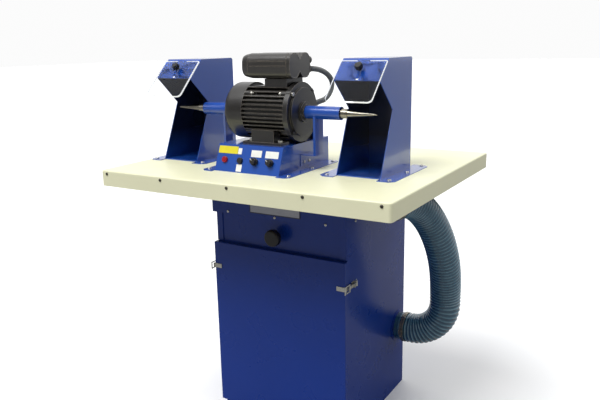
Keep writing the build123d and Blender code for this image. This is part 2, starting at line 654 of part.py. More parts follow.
def cable_glands():
    glands = []
    for z in GLAND_ZS:
        nut = extrude(RegularPolygon(12.5, 6), amount=9)
        nut = Pos(GLAND_X, GLAND_FACE_Y, z) * Rot(-90, 0, 0) * nut
        glands.append(nut + bar_y(11.5, GLAND_FACE_Y + 9, GLAND_FACE_Y + 20, GLAND_X, z))
    glands[1] = glands[1] - gland_bore()
    entry = (BOX_GLAND_X, BOX_GLAND_Y, ENCLOSURE_TOP)
    box_gland = extrude(Pos(*entry) * RegularPolygon(14, 6), amount=8)
    bore = bar_z(CONDUIT_R + 1, ENCLOSURE_TOP - 1, ENCLOSURE_TOP + 10, BOX_GLAND_X, BOX_GLAND_Y)
    return glands + [box_gland - bore]


def conduit():
    """Flexible conduit looping back and down from the capacitor box to the switch enclosure."""
    start_y = GLAND_FACE_Y + 12
    points = [(GLAND_X, start_y, GLAND_ZS[1]), (101, 130, 280), (104, 198, 230),
              (98, 160, 190), (86, 112, 170), (BOX_GLAND_X, BOX_GLAND_Y, ENCLOSURE_TOP + 2)]
    path = Spline(*points, tangents=[(0, 1, 0), (0, 0, -1)], tangent_scalars=(1, 0.5))
    return sweep(Plane(origin=path @ 0, z_dir=path % 0) * Circle(CONDUIT_R), path=path)


def motor_bolts():
    """Four foot bolts, four end-shield bolts and the nuts and studs of the lugs."""
    foot = Pos(0, 0, 8) * (extrude(RegularPolygon(7.5, 6), amount=6) + bar_z(4, -20, 0))
    bolts = at_points(motor_bolt_points(), UP, foot)
    for angle in LUG_ANGLES:
        (left_x0, left_x1), (right_x0, right_x1) = NUT_SPANS
        stud = disc(3, COVER_RIGHT + 1, left_x1 + 3) + disc(NUT_R, left_x0, left_x1)
        bolt = disc(6, 113, 118) + disc(3, right_x0 - 3, 113) + disc(NUT_R, right_x0, right_x1)
        bolts.append(around_axis(angle, LUG_R, bolt))
        bolts.append(around_axis(angle, LUG_R, stud))
    return bolts


def make_motor():
    pieces = {
        "motor_frame": motor_frame(), "end_shields": end_shields(), "fan_cover": fan_cover(),
        "stator": stator(), "rotor": disc(41.6, -22, 74) - disc(SHAFT_R, -23, 75),
        "shaft": shaft(), "bearings": bearings(), "cooling_fan": cooling_fan(),
        "taper_left": taper(-1), "taper_right": taper(1), "guard_tubes": guard_tubes(),
        "terminal_box": terminal_box(), "capacitor_box": capacitor_box(),
        "capacitors": [bar_x(21, -20, 84, y, LOBE_Z) for y in LOBE_Y],
        "cable_glands": cable_glands(), "conduit": conduit(), "motor_bolts": motor_bolts(),
    }
    for name, shape in pieces.items():
        shapes = shape if isinstance(shape, list) else [shape]
        placed = [on_bench(one) for one in shapes]
        save(name, placed if len(placed) > 1 else placed[0])


# ---------------------------------------------------------------- cabinet
def cabinet_shell():
    """Folded box, open at the front between its return flanges, with a lip for the door."""
    x, y, z = (-CAB_HALF_W, CAB_HALF_W), (CAB_FRONT, CAB_REAR), (0, CAB_TOP)
    shell = block(x, y, z)
    inner_x = (x[0] + SHEET, x[1] - SHEET)
    shell = shell - block(inner_x, (y[0] + SHEET, y[1] - SHEET), (SHEET, CAB_TOP - SHEET))
    shell = shell - block((x[0] + 24, x[1] - 24), (y[0] - 1, y[0] + 3), (22, CAB_TOP - 24))
    lip = block((-200, 200), (CAB_FRONT - 8, CAB_FRONT - 6), (6, 36))
    lip = lip + block((-200, 200), (CAB_FRONT - 7, CAB_FRONT), (6, 8))
    shell = shell + lip
    shell = cut(shell, both_sides(bar_x(DUCT_R, 230, 250, INLET_Y, INLET_Z)))
    vents = [block((-90, 90), (CAB_REAR - 5, CAB_REAR + 1), (z0, z0 + 5))
             for z0 in range(650, 760, 12)]
    shell = cut(shell, vents)
    shell = cut(shell, at_points(side_points, TO_RIGHT, bar_z(2, -14, 1)))
    left_points = [(-px, py, pz) for px, py, pz in side_points]
    return cut(shell, at_points(left_points, TO_LEFT, bar_z(2, -14, 1)))


def pan(x, z, depth):
    """Shallow folded pan with its open side to the rear."""
    outer = block(x, (FRONT_FACE_Y, FRONT_FACE_Y + depth), z)
    inner_x, inner_z = (x[0] + SHEET, x[1] - SHEET), (z[0] + SHEET, z[1] - SHEET)
    inner = block(inner_x, (FRONT_FACE_Y + SHEET, FRONT_FACE_Y + depth + 1), inner_z)
    return outer - inner


def door_panel():
    """Door pan; its bottom return is short so that it clears the cabinet's lip."""
    door = pan((-DOOR_HALF_W, DOOR_HALF_W), (DOOR_BOTTOM, DOOR_TOP), 20)
    door = door - block((-210, 210), (-230, -215), (DOOR_BOTTOM - 1, DOOR_BOTTOM + 5))
    soft = door.faces().sort_by(Axis.Y)[0].edges()
    return fillet(soft, 1.5)


def top_rail():
    rail = pan((-DOOR_HALF_W, DOOR_HALF_W), (RAIL_BOTTOM, CAB_TOP), 20)
    return cut(rail, at_points(rail_points, FORWARD, bar_z(2, -14, 1)))


def header_panel():
    """Recessed panel with side folds and the hole that guides the shaker rod."""
    z = (DOOR_TOP - 20, RAIL_BOTTOM + 16)
    panel = block((-CAB_HALF_W, CAB_HALF_W), (CAB_FRONT - 2, CAB_FRONT), z)
    z_clear = (DOOR_TOP + 2, RAIL_BOTTOM)
    for side in both_sides(block((219, CAB_HALF_W), (CAB_FRONT - 5, CAB_FRONT - 2), z_clear)):
        panel = panel + side
    panel = panel - bar_y(6 + RUNNING, CAB_FRONT - 6, CAB_FRONT + 1, 0, SHAKER_Z)
    return cut(panel, at_points(rail_points, FORWARD, bar_z(2, -30, 1)))


def shaker_rod():
    """Pull rod with the bar that raps the filter frame inside."""
    rod = bar_y(6, FRONT_FACE_Y - 4, -120, 0, SHAKER_Z)
    return rod + block((-150, 150), (-132, -120), (SHAKER_Z - 30, SHAKER_Z + 8))


def shaker_knob():
    """Round pull knob on the end of the rod."""
    front = FRONT_FACE_Y - 26
    knob = bar_y(27, front, FRONT_FACE_Y - 8, 0, SHAKER_Z)
    knob = fillet(knob.edges().group_by(Axis.Y)[0], 7)
    knob = knob + bar_y(13, FRONT_FACE_Y - 8, FRONT_FACE_Y + 2, 0, SHAKER_Z)
    return knob - bar_y(6, FRONT_FACE_Y - 4, FRONT_FACE_Y + 3, 0, SHAKER_Z)


def tube_sheet():
    """Shelf between the dust chamber and the clean-air chamber, open under each filter bag,
    with the frame that holds the bags."""
    sheet = block((-238, 238), (-214, 221), (BAG_BOTTOM - 2, BAG_BOTTOM))
    mouth_half_w, mouth_half_d = BAG_HALF_W - CLOTH - 1, BAG_HALF_D - CLOTH - 1
    for x in BAG_XS:
        sheet = sheet - block((x - mouth_half_w, x + mouth_half_w),
                              (-mouth_half_d, mouth_half_d), (BAG_BOTTOM - 3, BAG_BOTTOM + 1))
    for x in (-225, 225):
        sheet = sheet + block((x - 5, x + 5), (-110, -100), (BAG_BOTTOM, BAG_TOP + 20))
        sheet = sheet + block((x - 5, x + 5), (150, 160), (BAG_BOTTOM, BAG_TOP + 20))
    for y in (-110, 150):
        sheet = sheet + block((-230, 230), (y, y + 10), (BAG_TOP + 10, BAG_TOP + 20))
    return sheet


def filter_bags():
    """Three flat envelope bags, closed at the top."""
    bags = []
    half_w, half_d = BAG_HALF_W - CLOTH, BAG_HALF_D - CLOTH
    for x in BAG_XS:
        bag = block((x - BAG_HALF_W, x + BAG_HALF_W), (-BAG_HALF_D, BAG_HALF_D),
                    (BAG_BOTTOM, BAG_TOP))
        bags.append(bag - block((x - half_w, x + half_w), (-half_d, half_d),
                                (BAG_BOTTOM - 1, BAG_TOP - CLOTH)))
    return bags


def dust_tray():
    outer = block((-205, 205), (-200, 205), (6, 130))
    tray = outer - block((-203, 203), (-198, 203), (8, 131))
    return tray + block((-60, 60), (-210, -200), (100, 108))


def fan_housing():
    """Scroll of the extraction fan: inlet below, outlet towards the cabinet's rear vents."""
    outlet_y = 215
    scroll = bar_z(FAN_R, FAN_FLOOR, FAN_ROOF, 0, FAN_Y)
    scroll = scroll + block((0, FAN_R), (FAN_Y, outlet_y), (FAN_FLOOR, FAN_ROOF))
    low, high = FAN_FLOOR + SHEET, FAN_ROOF - SHEET
    inside = bar_z(FAN_R - SHEET, low, high, 0, FAN_Y)
    inside = inside + block((SHEET, FAN_R - SHEET), (FAN_Y, outlet_y + 1), (low, high))
    eye = bar_z(60, FAN_FLOOR - 2, FAN_FLOOR + 3, 0, FAN_Y)
    shaft_hole = bar_z(14, FAN_ROOF - 3, FAN_ROOF + 1, 0, FAN_Y)
    scroll = scroll - inside - eye - shaft_hole
    legs = [block((x - 6, x + 6), (y - 6, y + 6), (FAN_ROOF, CAB_TOP - SHEET))
            for x in (-85, 85) for y in (FAN_Y - 60, FAN_Y + 60)]
    for leg in legs:
        scroll = scroll + leg
    return scroll


def fan_impeller():
    """Backplate, hub and ten straight blades set at 30 degrees to the radius."""
    wheel = bar_z(100, 676, 679, 0, FAN_Y) + bar_z(16, 640, 676, 0, FAN_Y)
    for k in range(10):
        blade = Rot(0, 0, 36 * k) * Pos(70, 0, 0) * Rot(0, 0, 30) * Box(56, 2, 40)
        wheel = wheel + Pos(0, FAN_Y, 656) * blade
    return wheel - bar_z(8, 660, 680, 0, FAN_Y)


def fan_motor():
    """Flanged motor on top of the scroll; its shaft holds the impeller."""
    flange_top = FAN_ROOF + 4
    return bar_z(62, flange_top, 790, 0, FAN_Y) + bar_z(75, FAN_ROOF, flange_top, 0, FAN_Y)


def fan_shaft():
    return bar_z(8, 660, FAN_ROOF, 0, FAN_Y)


def latch_keeper(side):
    """Plate on the door's front that wraps the corner and ends in a small lip."""
    face = FRONT_FACE_Y
    z = (LATCH_Z - 7, LATCH_Z + 7)
    keeper = block((217, DOOR_HALF_W), (face - 3, face), z)
    keeper = keeper + block((DOOR_HALF_W, DOOR_HALF_W + 2.5), (face - 3, face + 18), z)
    keeper = keeper + block((DOOR_HALF_W + 2.5, DOOR_HALF_W + 6), (face - 3, face), z)
    return keeper if side > 0 else mirrored(keeper)


def latch_base(side):
    """Bracket on the cabinet's side with two ears and a riveted pin."""
    plate = block((CAB_HALF_W, CAB_HALF_W + 2), (-197, -160), (LATCH_Z - 8, LATCH_Z + 8))
    for z0 in (LATCH_Z - 8, LATCH_Z + 5.5):
        ear = block((CAB_HALF_W, LATCH_PIN_X), (LATCH_PIN_Y - 5, LATCH_PIN_Y + 5), (z0, z0 + 2.5))
        plate = plate + ear + bar_z(5, z0, z0 + 2.5, LATCH_PIN_X, LATCH_PIN_Y)
    plate = plate + bar_z(2, LATCH_Z - 9, LATCH_Z + 9, LATCH_PIN_X, LATCH_PIN_Y)
    return plate if side > 0 else mirrored(plate)


def latch_lever(side):
    """Lever with its wire loop reaching round the keeper's lip."""
    z = (LATCH_Z - 5, LATCH_Z + 5)
    barrel = bar_z(4.2, *z, LATCH_PIN_X, LATCH_PIN_Y)
    plate = block((LATCH_PIN_X + 1, LATCH_PIN_X + 3), (-228, LATCH_PIN_Y), z)
    grip = block((LATCH_PIN_X + 1, LATCH_PIN_X + 8), (-200, -196), z)
    bar_front = FRONT_FACE_Y - 11
    rod_x = DOOR_HALF_W + 6.5
    lever = barrel + plate + grip
    for wire_z in (LATCH_Z - 10.2, LATCH_Z + 10.2):
        lever = lever + bar_y(1.7, bar_front, -222, rod_x, wire_z)
    for y in (bar_front, -224):
        lever = lever + bar_z(2, LATCH_Z - 12.7, LATCH_Z + 12.7, rod_x, y)
    pin_hole = bar_z(2 + RUNNING, LATCH_Z - 10, LATCH_Z + 10, LATCH_PIN_X, LATCH_PIN_Y)
    lever = lever - pin_hole
    return lever if side > 0 else mirrored(lever)


def name_plate():
    """Blank plate on the top rail."""
    plate = block((-94, 94), (FRONT_FACE_Y - 1.5, FRONT_FACE_Y),
                  (TABLE_HEIGHT - 160, TABLE_HEIGHT - 108))
    return fillet(plate.edges().filter_by(Axis.Y), 3)


def header_screws():
    screws = at_points(rail_points, FORWARD, screw(4.5, 2, 12))
    screws += at_points(side_points, TO_RIGHT, screw(4.5, 2, 12))
    left_points = [(-x, y, z) for x, y, z in side_points]
    return screws + at_points(left_points, TO_LEFT, screw(4.5, 2, 12))


def make_cabinet():
    save("cabinet_shell", cabinet_shell())
    save("top_rail", top_rail())
    save("header_panel", header_panel())
    save("header_screws", header_screws())
    save("name_plate", name_plate())
    save("door_panel", door_panel())
    save("latch_keepers", [latch_keeper(1), latch_keeper(-1)])
    save("latch_bases", [latch_base(1), latch_base(-1)])
    save("latch_lever_left", latch_lever(-1))
    save("latch_lever_right", latch_lever(1))
    save("tube_sheet", tube_sheet())
    save("filter_bags", filter_bags())
    save("dust_tray", dust_tray())
    save("shaker_rod", shaker_rod())
    save("shaker_knob", shaker_knob())
    save("fan_housing", fan_housing())
    save("fan_impeller", fan_impeller() + fan_shaft())
    save("fan_motor", fan_motor())


os.makedirs("parts", exist_ok=True)
make_table()
make_hoods()
make_base()
make_motor()
make_cabinet()
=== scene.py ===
"""Looks of the double-ended taper-spindle finishing machine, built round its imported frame.

Frame: metres, +Z up, floor at z = 0, -Y is the operator's side, the spindle runs along X.
Painted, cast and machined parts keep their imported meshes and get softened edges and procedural
materials.  Hoses, conduit, worm clamps, screw heads and filter bags are built here.
"""

from math import cos, pi, radians, sin, sqrt, tau

import bmesh
import bpy
import numpy as np
from mathutils import Matrix, Vector


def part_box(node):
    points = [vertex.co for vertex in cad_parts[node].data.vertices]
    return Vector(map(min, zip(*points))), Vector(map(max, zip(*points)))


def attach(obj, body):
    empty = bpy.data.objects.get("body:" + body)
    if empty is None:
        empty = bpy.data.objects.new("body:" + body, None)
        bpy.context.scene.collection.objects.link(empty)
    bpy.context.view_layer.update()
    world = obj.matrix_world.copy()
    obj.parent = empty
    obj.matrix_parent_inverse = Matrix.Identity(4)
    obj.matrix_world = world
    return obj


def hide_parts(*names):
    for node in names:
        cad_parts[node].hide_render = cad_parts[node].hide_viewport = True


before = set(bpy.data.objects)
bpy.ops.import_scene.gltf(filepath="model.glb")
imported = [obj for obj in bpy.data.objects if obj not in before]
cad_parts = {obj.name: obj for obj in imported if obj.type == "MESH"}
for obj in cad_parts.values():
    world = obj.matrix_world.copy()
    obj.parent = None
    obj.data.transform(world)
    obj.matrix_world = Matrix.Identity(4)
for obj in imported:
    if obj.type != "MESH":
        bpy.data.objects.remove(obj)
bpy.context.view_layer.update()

MM = 0.001
TABLE_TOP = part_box("table_skin")[1].z
SPINDLE = (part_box("taper_right")[0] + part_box("taper_right")[1]) / 2
SHARP = radians(32)          # edges that turn more than this are folds or corners

CAB_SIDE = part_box("cabinet_shell")[1].x
HOOD_X = (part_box("hood_right")[0].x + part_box("hood_right")[1].x) / 2
HOOD_HALF_W = 0.0675
SLOT_FOOT_Z = TABLE_TOP + 0.2635    # lower end of the slot in each shield
HOOD_MIDDLE_Y, HOOD_MIDDLE_Z = SPINDLE.y + 0.03, SPINDLE.z + 0.02    # a point inside each hood
DUCT_R, DUCT_Y = 0.048, SPINDLE.y + 0.070            # duct under each hood
ELBOW_DROP, ELBOW_R, ELBOW_OUTLET = 0.050, 0.062, 0.045
ELBOW_ANGLE = radians(20)    # the elbow's outlet is turned outwards from straight back
INLET_Y, INLET_Z = 0.170, TABLE_TOP - 0.635          # hose inlet in the cabinet's side
HOSE_BEND = 0.120
HOSE_RIBS = dict(outer_r=DUCT_R + 0.0039, depth=0.0030, wall=0.0008, pitch=0.0125, columns=56,
                 plain=0.012)
CONDUIT_RIBS = dict(outer_r=0.0085, depth=0.0009, wall=0.0008, pitch=0.0034, columns=28,
                    plain=0.004)


# -------- colour
def srgb(red, green, blue):
    """Linear colour from 0-255 display values."""
    values = []
    for level in (red, green, blue):
        level = level / 255
        values.append(level / 12.92 if level <= 0.04045 else ((level + 0.055) / 1.055) ** 2.4)
    return (*values, 1.0)


def shade(colour, factor):
    return tuple(min(1.0, value * factor) for value in colour[:3]) + (1.0,)


# -------- material building
class NodeTree:
    """Helpers that add shader nodes and return their outputs."""

    def __init__(self, tree, coordinate):
        self.tree = tree
        self.place = self.add("ShaderNodeTexCoord").outputs[coordinate]

    def add(self, kind, **settings):
        node = self.tree.nodes.new(kind)
        for key, value in settings.items():
            setattr(node, key, value)
        return node

    def feed(self, socket, value):
        if isinstance(value, bpy.types.NodeSocket):
            self.tree.links.new(value, socket)
        else:
            socket.default_value = value

    def stretched(self, stretch):
        if stretch is None:
            return self.place
        node = self.add("ShaderNodeMapping")
        node.inputs["Scale"].default_value = stretch
        self.feed(node.inputs["Vector"], self.place)
        return node.outputs["Vector"]

    def noise(self, scale, detail=3.0, rough=0.5, stretch=None):
        node = self.add("ShaderNodeTexNoise")
        self.feed(node.inputs["Vector"], self.stretched(stretch))
        node.inputs["Scale"].default_value = scale
        node.inputs["Detail"].default_value = detail
        node.inputs["Roughness"].default_value = rough
        return node.outputs["Fac"]

    def cells(self, scale, output="Color", stretch=None, feature="F1"):
        node = self.add("ShaderNodeTexVoronoi", feature=feature)
        self.feed(node.inputs["Vector"], self.stretched(stretch))
        node.inputs["Scale"].default_value = scale
        return node.outputs[output]

    def bands(self, pitch, direction="X", distortion=0.0):
        """Fine parallel bands, one every pitch metres along an axis."""
        node = self.add("ShaderNodeTexWave", wave_type="BANDS", bands_direction=direction)
        self.feed(node.inputs["Vector"], self.place)
        node.inputs["Scale"].default_value = tau / (20 * pitch)
        node.inputs["Distortion"].default_value = distortion
        return node.outputs["Fac"]

    def remap(self, value, low, high, to_low=0.0, to_high=1.0):
        node = self.add("ShaderNodeMapRange")
        for socket, number in zip(node.inputs, (value, low, high, to_low, to_high)):
            self.feed(socket, number)
        return node.outputs["Result"]

    def mix(self, factor, first, second):
        node = self.add("ShaderNodeMix", data_type="RGBA")
        self.feed(node.inputs[0], factor)
        self.feed(node.inputs[6], first)
        self.feed(node.inputs[7], second)
        return node.outputs[2]

    def math(self, operation, first, second=0.0):
        node = self.add("ShaderNodeMath", operation=operation)
        self.feed(node.inputs[0], first)
        self.feed(node.inputs[1], second)
        return node.outputs[0]

    def axis(self, name):
        node = self.add("ShaderNodeSeparateXYZ")
        self.feed(node.inputs[0], self.place)
        return node.outputs[name]

    def seen(self):
        """1 for rays from the camera, straight or through a clear sheet."""
        rays = self.add("ShaderNodeLightPath").outputs
        return self.math("MAXIMUM", rays["Is Camera Ray"], rays["Is Transmission Ray"])

    def dot(self, first, second):
        node = self.add("ShaderNodeVectorMath", operation="DOT_PRODUCT")
        self.feed(node.inputs[0], first)
        self.feed(node.inputs[1], second)
        return node.outputs["Value"]


class Shader(NodeTree):
    """One procedural material."""

    def __init__(self, name):
        self.material = bpy.data.materials.new(name)
        self.material.use_nodes = True
        super().__init__(self.material.node_tree, "Object")
        self.surface = self.tree.nodes["Principled BSDF"]

    def set(self, **inputs):
        """Principled inputs by name, with _ for a space."""
        for name, value in inputs.items():
            self.feed(self.surface.inputs[name.replace("_", " ")], value)

    def edges(self, radius):
        """0 on flat faces, up to 1 within a radius of an outer or inner edge."""
        rounded = self.add("ShaderNodeBevel", samples=4)
        rounded.inputs["Radius"].default_value = radius
        flat = self.add("ShaderNodeNewGeometry").outputs["Normal"]
        return self.remap(self.dot(rounded.outputs["Normal"], flat), 0.995, 0.85)

    def bump(self, height, strength, distance=0.0005):
        node = self.add("ShaderNodeBump")
        node.inputs["Strength"].default_value = strength
        node.inputs["Distance"].default_value = distance
        self.feed(node.inputs["Height"], height)
        self.set(Normal=node.outputs["Normal"])


def inside_hood(s):
    """1 on the faces that look into a hood, 0 elsewhere."""
    normal = s.add("ShaderNodeNewGeometry").outputs["True Normal"]
    offset = s.math("SUBTRACT", s.math("ABSOLUTE", s.axis("X")), HOOD_X)
    out = s.add("ShaderNodeCombineXYZ")
    s.feed(out.inputs[0], s.math("MULTIPLY", s.math("SIGN", s.axis("X")), offset))
    s.feed(out.inputs[1], s.math("SUBTRACT", s.axis("Y"), HOOD_MIDDLE_Y))
    s.feed(out.inputs[2], s.math("SUBTRACT", s.axis("Z"), HOOD_MIDDLE_Z))
    inward = s.math("LESS_THAN", s.dot(normal, out.outputs[0]), 0.0)
    within = s.math("LESS_THAN", s.math("ABSOLUTE", offset), HOOD_HALF_W - 0.0005)
    return s.math("MULTIPLY", inward, within)


def painted(name, colour, roughness, peel=0.05, coat=0.8, gloss=0.5, painted_inside_shade=False):
    """Gloss enamel on sheet metal: faint mottling, orange peel, smudges, and worn edges painted a
    lighter blue that is partly a painted edge highlight.
    Inside a hood the colour is darkened from the hood's floor upwards, and the coat thinned there,
    as painted shade."""
    s = Shader(name)
    mottle = s.remap(s.noise(5, 3), 0.3, 0.7)
    base = s.mix(mottle, shade(colour, 0.97), shade(colour, 1.03))
    # worn edges and painted edge highlight: noisy edges turn towards a much lighter copy of the
    # blue
    wear_and_edge_highlight = s.math("MULTIPLY", s.edges(0.0007), s.remap(s.noise(180, 4), 0.50, 0.66))
    base = s.mix(s.math("MULTIPLY", wear_and_edge_highlight, 0.5), base, shade(colour, 2.6))
    if painted_inside_shade:
        # painted shade inside the hood: near black, with less coat, from the hood's floor upwards
        height = s.remap(s.axis("Z"), TABLE_TOP, TABLE_TOP + 0.09, 0.1, 0.9)
        inside_shade_mask = s.math("MULTIPLY", inside_hood(s), height)
        base = s.mix(inside_shade_mask, base, srgb(20, 20, 30))
        coat = s.remap(inside_shade_mask, 0, 1, coat, 0.1)
    s.set(Base_Color=base, Coat_Weight=coat, Coat_Roughness=0.08, Specular_IOR_Level=gloss)
    s.set(Roughness=s.remap(s.noise(9, 4), 0.3, 0.7, roughness - 0.02, roughness + 0.03))
    s.bump(s.noise(300, 1), peel, 0.0001)
    return s.material


def cream_enamel():
    """Rolled table skin: near-white cream with orange peel and a little grime."""
    s = Shader("cream_enamel")
    cream = srgb(236, 235, 200)
    base = s.mix(s.remap(s.noise(4, 4), 0.3, 0.7), shade(cream, 0.97), shade(cream, 1.03))
    specks = s.remap(s.noise(900, 2), 0.66, 0.74, 0.0, 0.25)
    base = s.mix(specks, base, srgb(190, 186, 150))
    grime = s.math("MULTIPLY", s.edges(0.003), s.remap(s.noise(60, 5), 0.45, 0.75, 0, 0.5))
    base = s.mix(grime, base, srgb(180, 172, 130))
    s.set(Base_Color=base, Coat_Weight=0.15, Coat_Roughness=0.3)
    s.set(Roughness=s.remap(s.noise(22, 5), 0.3, 0.7, 0.38, 0.52))
    s.bump(s.noise(520, 3), 0.3, 0.00015)
    return s.material


def cast_black(name, colour, roughness, grain=0.4):
    """Satin black paint over cast metal: sandy grain, dusty mottling, and rubbed fin tips painted
    light that are partly a painted highlight.
    """
    s = Shader(name)
    dust = s.remap(s.noise(26, 5, 0.6), 0.35, 0.75)
    base = s.mix(dust, colour, shade(colour, 1.5))
    # rubbed tips and painted highlight: noisy edges turn towards a light warm grey
    rubbed_and_highlit_tips = s.math("MULTIPLY", s.edges(0.0014), s.remap(s.noise(120, 4), 0.3, 0.6, 0.3, 0.9))
    base = s.mix(rubbed_and_highlit_tips, base, srgb(168, 158, 144))
    s.set(Base_Color=base, Coat_Weight=0.4, Coat_Roughness=0.15, Specular_IOR_Level=0.6)
    s.set(Roughness=s.remap(dust, 0, 1, roughness, roughness + 0.12))
    s.bump(s.noise(800, 4, 0.6), grain, 0.0002)
    return s.material


def moulded(name, colour, roughness=0.38, grain=0.2):
    """Moulded plastic: fine spark-eroded grain and slight flow marks."""
    s = Shader(name)
    flow = s.remap(s.noise(45, 4), 0.3, 0.7)
    base = s.mix(flow, shade(colour, 0.88), shade(colour, 1.12))
    s.set(Base_Color=base, Roughness=s.remap(s.noise(200, 3), 0.3, 0.7, roughness - 0.06,
                                             roughness + 0.06))
    s.bump(s.noise(1600, 2), grain, 0.0001)
    return s.material


def turned_steel():
    """Polished steel with fine turning rings round the spindle axis."""
    s = Shader("turned_steel")
    rings = s.math("MULTIPLY", s.bands(0.0007), s.noise(40, 3))
    streak = s.remap(s.noise(1.0, 4, 0.6, stretch=(900, 6, 6)), 0.3, 0.7)
    s.set(Base_Color=s.mix(streak, srgb(138, 133, 122), srgb(172, 166, 152)), Metallic=1.0)
    s.set(Roughness=s.remap(streak, 0, 1, 0.14, 0.26), Anisotropic=0.5)
    round_axis = s.add("ShaderNodeTangent", direction_type="RADIAL", axis="X")
    s.set(Tangent=round_axis.outputs["Tangent"])
    s.bump(rings, 0.12, 0.0001)
    return s.material


def plated(name, tint, roughness=0.3):
    """Zinc-plated steel: faint spangle, short scratches and dull patches."""
    s = Shader(name)
    spangle = s.add("ShaderNodeRGBToBW")
    s.feed(spangle.inputs[0], s.cells(240))
    tone = s.remap(spangle.outputs[0], 0.2, 0.8)
    scratches = s.noise(60, 5, 0.7, stretch=(1, 14, 3))
    s.set(Base_Color=s.mix(tone, shade(tint, 0.86), tint), Metallic=1.0)
    s.set(Roughness=s.remap(scratches, 0.35, 0.65, roughness - 0.08, roughness + 0.14))
    s.bump(scratches, 0.18, 0.0001)
    return s.material


def brushed_plate():
    """Blank anodised plate, brushed lengthwise, with a printed darker border."""
    s = Shader("brushed_plate")
    low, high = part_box("name_plate")
    brush = s.noise(30, 5, 0.7, stretch=(1, 40, 60))
    base = s.mix(s.remap(brush, 0.3, 0.7), srgb(146, 148, 156), srgb(182, 184, 190))
    inside = s.math("MULTIPLY",
                    s.math("LESS_THAN", s.math("ABSOLUTE", s.axis("X")), high.x - 0.0035),
                    s.math("GREATER_THAN", s.axis("Z"), low.z + 0.0035))
    base = s.mix(inside, srgb(70, 74, 92), base)
    s.set(Base_Color=base, Metallic=0.75, Roughness=s.remap(brush, 0.3, 0.7, 0.3, 0.46))
    s.bump(brush, 0.1, 0.0001)
    return s.material


def clear_acrylic():
    """Clear cast sheet; its sawn edges are frosted and given a painted glow by an emission,
    standing in for the light the sheet pipes, brightest at the foot of the slot.
    """
    s = Shader("clear_acrylic")
    normal = s.add("ShaderNodeNewGeometry").outputs["True Normal"]
    facing = s.dot(normal, (0, -sqrt(0.5), sqrt(0.5)))
    across = s.math("ABSOLUTE", s.math("SUBTRACT", s.math("ABSOLUTE", s.axis("X")), HOOD_X))
    slot_foot = s.math("LESS_THAN", s.axis("Z"), SLOT_FOOT_Z + 0.0025)
    slot_side = s.math("MULTIPLY", s.math("LESS_THAN", across, 0.018),
                       s.math("SUBTRACT", 1.0, slot_foot))
    face = s.math("GREATER_THAN", s.math("ABSOLUTE", facing), 0.9)
    face = s.math("MAXIMUM", face, slot_side)
    scuffs = s.noise(60, 5, 0.6, stretch=(1, 4, 4))
    edge = s.math("SUBTRACT", 1.0, face)
    s.set(Base_Color=srgb(246, 248, 250), IOR=1.22)
    s.set(Transmission_Weight=s.remap(face, 0, 1, 0.1, 1.0))
    # painted glow: emission on the sheet's edges, strongest at the foot of the slot
    painted_edge_glow = s.remap(across, 0.015, 0.020, s.remap(slot_foot, 0, 1, 0.03, 1.2), 0.5)
    s.set(Emission_Color=srgb(250, 252, 255), Emission_Strength=s.math("MULTIPLY", edge, painted_edge_glow))
    s.set(Roughness=s.math("MAXIMUM", s.remap(face, 0, 1, 0.5, 0.0),
                           s.remap(scuffs, 0.6, 0.8, 0.0, 0.03)))
    return s.material


def hose_plastic():
    """Blue-green PVC; the spiral rib is coloured lighter than the web between the ribs, as a
    painted highlight.
    """
    s = Shader("hose_plastic")
    rib = s.add("ShaderNodeAttribute", attribute_name="rib").outputs["Fac"]
    streak = s.noise(40, 4, 0.6)
    web = s.mix(s.remap(streak, 0.3, 0.7), srgb(36, 78, 104), srgb(50, 96, 122))
    # painted highlight: the rib's colour is much lighter than the web's
    ridge = s.mix(s.remap(streak, 0.3, 0.7), srgb(104, 152, 176), srgb(132, 176, 194))
    s.set(Base_Color=s.mix(rib, web, ridge), Transmission_Weight=0.08, IOR=1.45)
    s.set(Roughness=s.remap(streak, 0.3, 0.7, 0.16, 0.26), Coat_Weight=1.0, Coat_Roughness=0.06)
    s.bump(s.noise(450, 3), 0.1, 0.0003)
    return s.material


def conduit_plastic():
    """Grey ribbed conduit: grooves coloured darker than the lighter, dust-mottled ridges."""
    s = Shader("conduit_plastic")
    rib = s.add("ShaderNodeAttribute", attribute_name="rib").outputs["Fac"]
    dust = s.remap(s.noise(70, 5), 0.3, 0.7)
    ridge = s.mix(dust, srgb(150, 152, 150), srgb(172, 173, 168))
    s.set(Base_Color=s.mix(rib, srgb(98, 99, 98), ridge), Roughness=0.42)
    s.bump(s.noise(900, 3), 0.2, 0.0002)
    return s.material


def filter_cloth():
    """Needle-felt filter cloth: fuzzy weave with grey dust in it."""
    s = Shader("filter_cloth")
    weave = s.math("MULTIPLY", s.bands(0.0016, "Y"), s.bands(0.0016, "Z"))
    fuzz = s.noise(600, 6, 0.75)
    dust = s.remap(s.noise(9, 5, 0.6), 0.35, 0.7)
    clean = s.mix(weave, srgb(196, 188, 168), srgb(222, 216, 198))
    s.set(Base_Color=s.mix(s.math("MULTIPLY", dust, 0.55), clean, srgb(128, 124, 118)))
    s.set(Roughness=0.95, Sheen_Weight=0.5, Sheen_Roughness=0.6)
    s.bump(s.math("ADD", s.math("MULTIPLY", weave, 0.6), fuzz), 0.6, 0.0006)
    return s.material


def particle_board():
    """Pressed chips of several browns."""
    s = Shader("particle_board")
    chip = s.cells(190, stretch=(1, 1.8, 3))
    level = s.add("ShaderNodeRGBToBW")
    s.feed(level.inputs[0], chip)
    base = s.mix(s.remap(level.outputs[0], 0.2, 0.8), srgb(150, 116, 76), srgb(206, 176, 128))
    s.set(Base_Color=s.mix(s.remap(s.noise(500, 4), 0.4, 0.7), base, srgb(122, 92, 60)))
    s.set(Roughness=0.85)
    s.bump(level.outputs[0], 0.4, 0.0005)
    return s.material


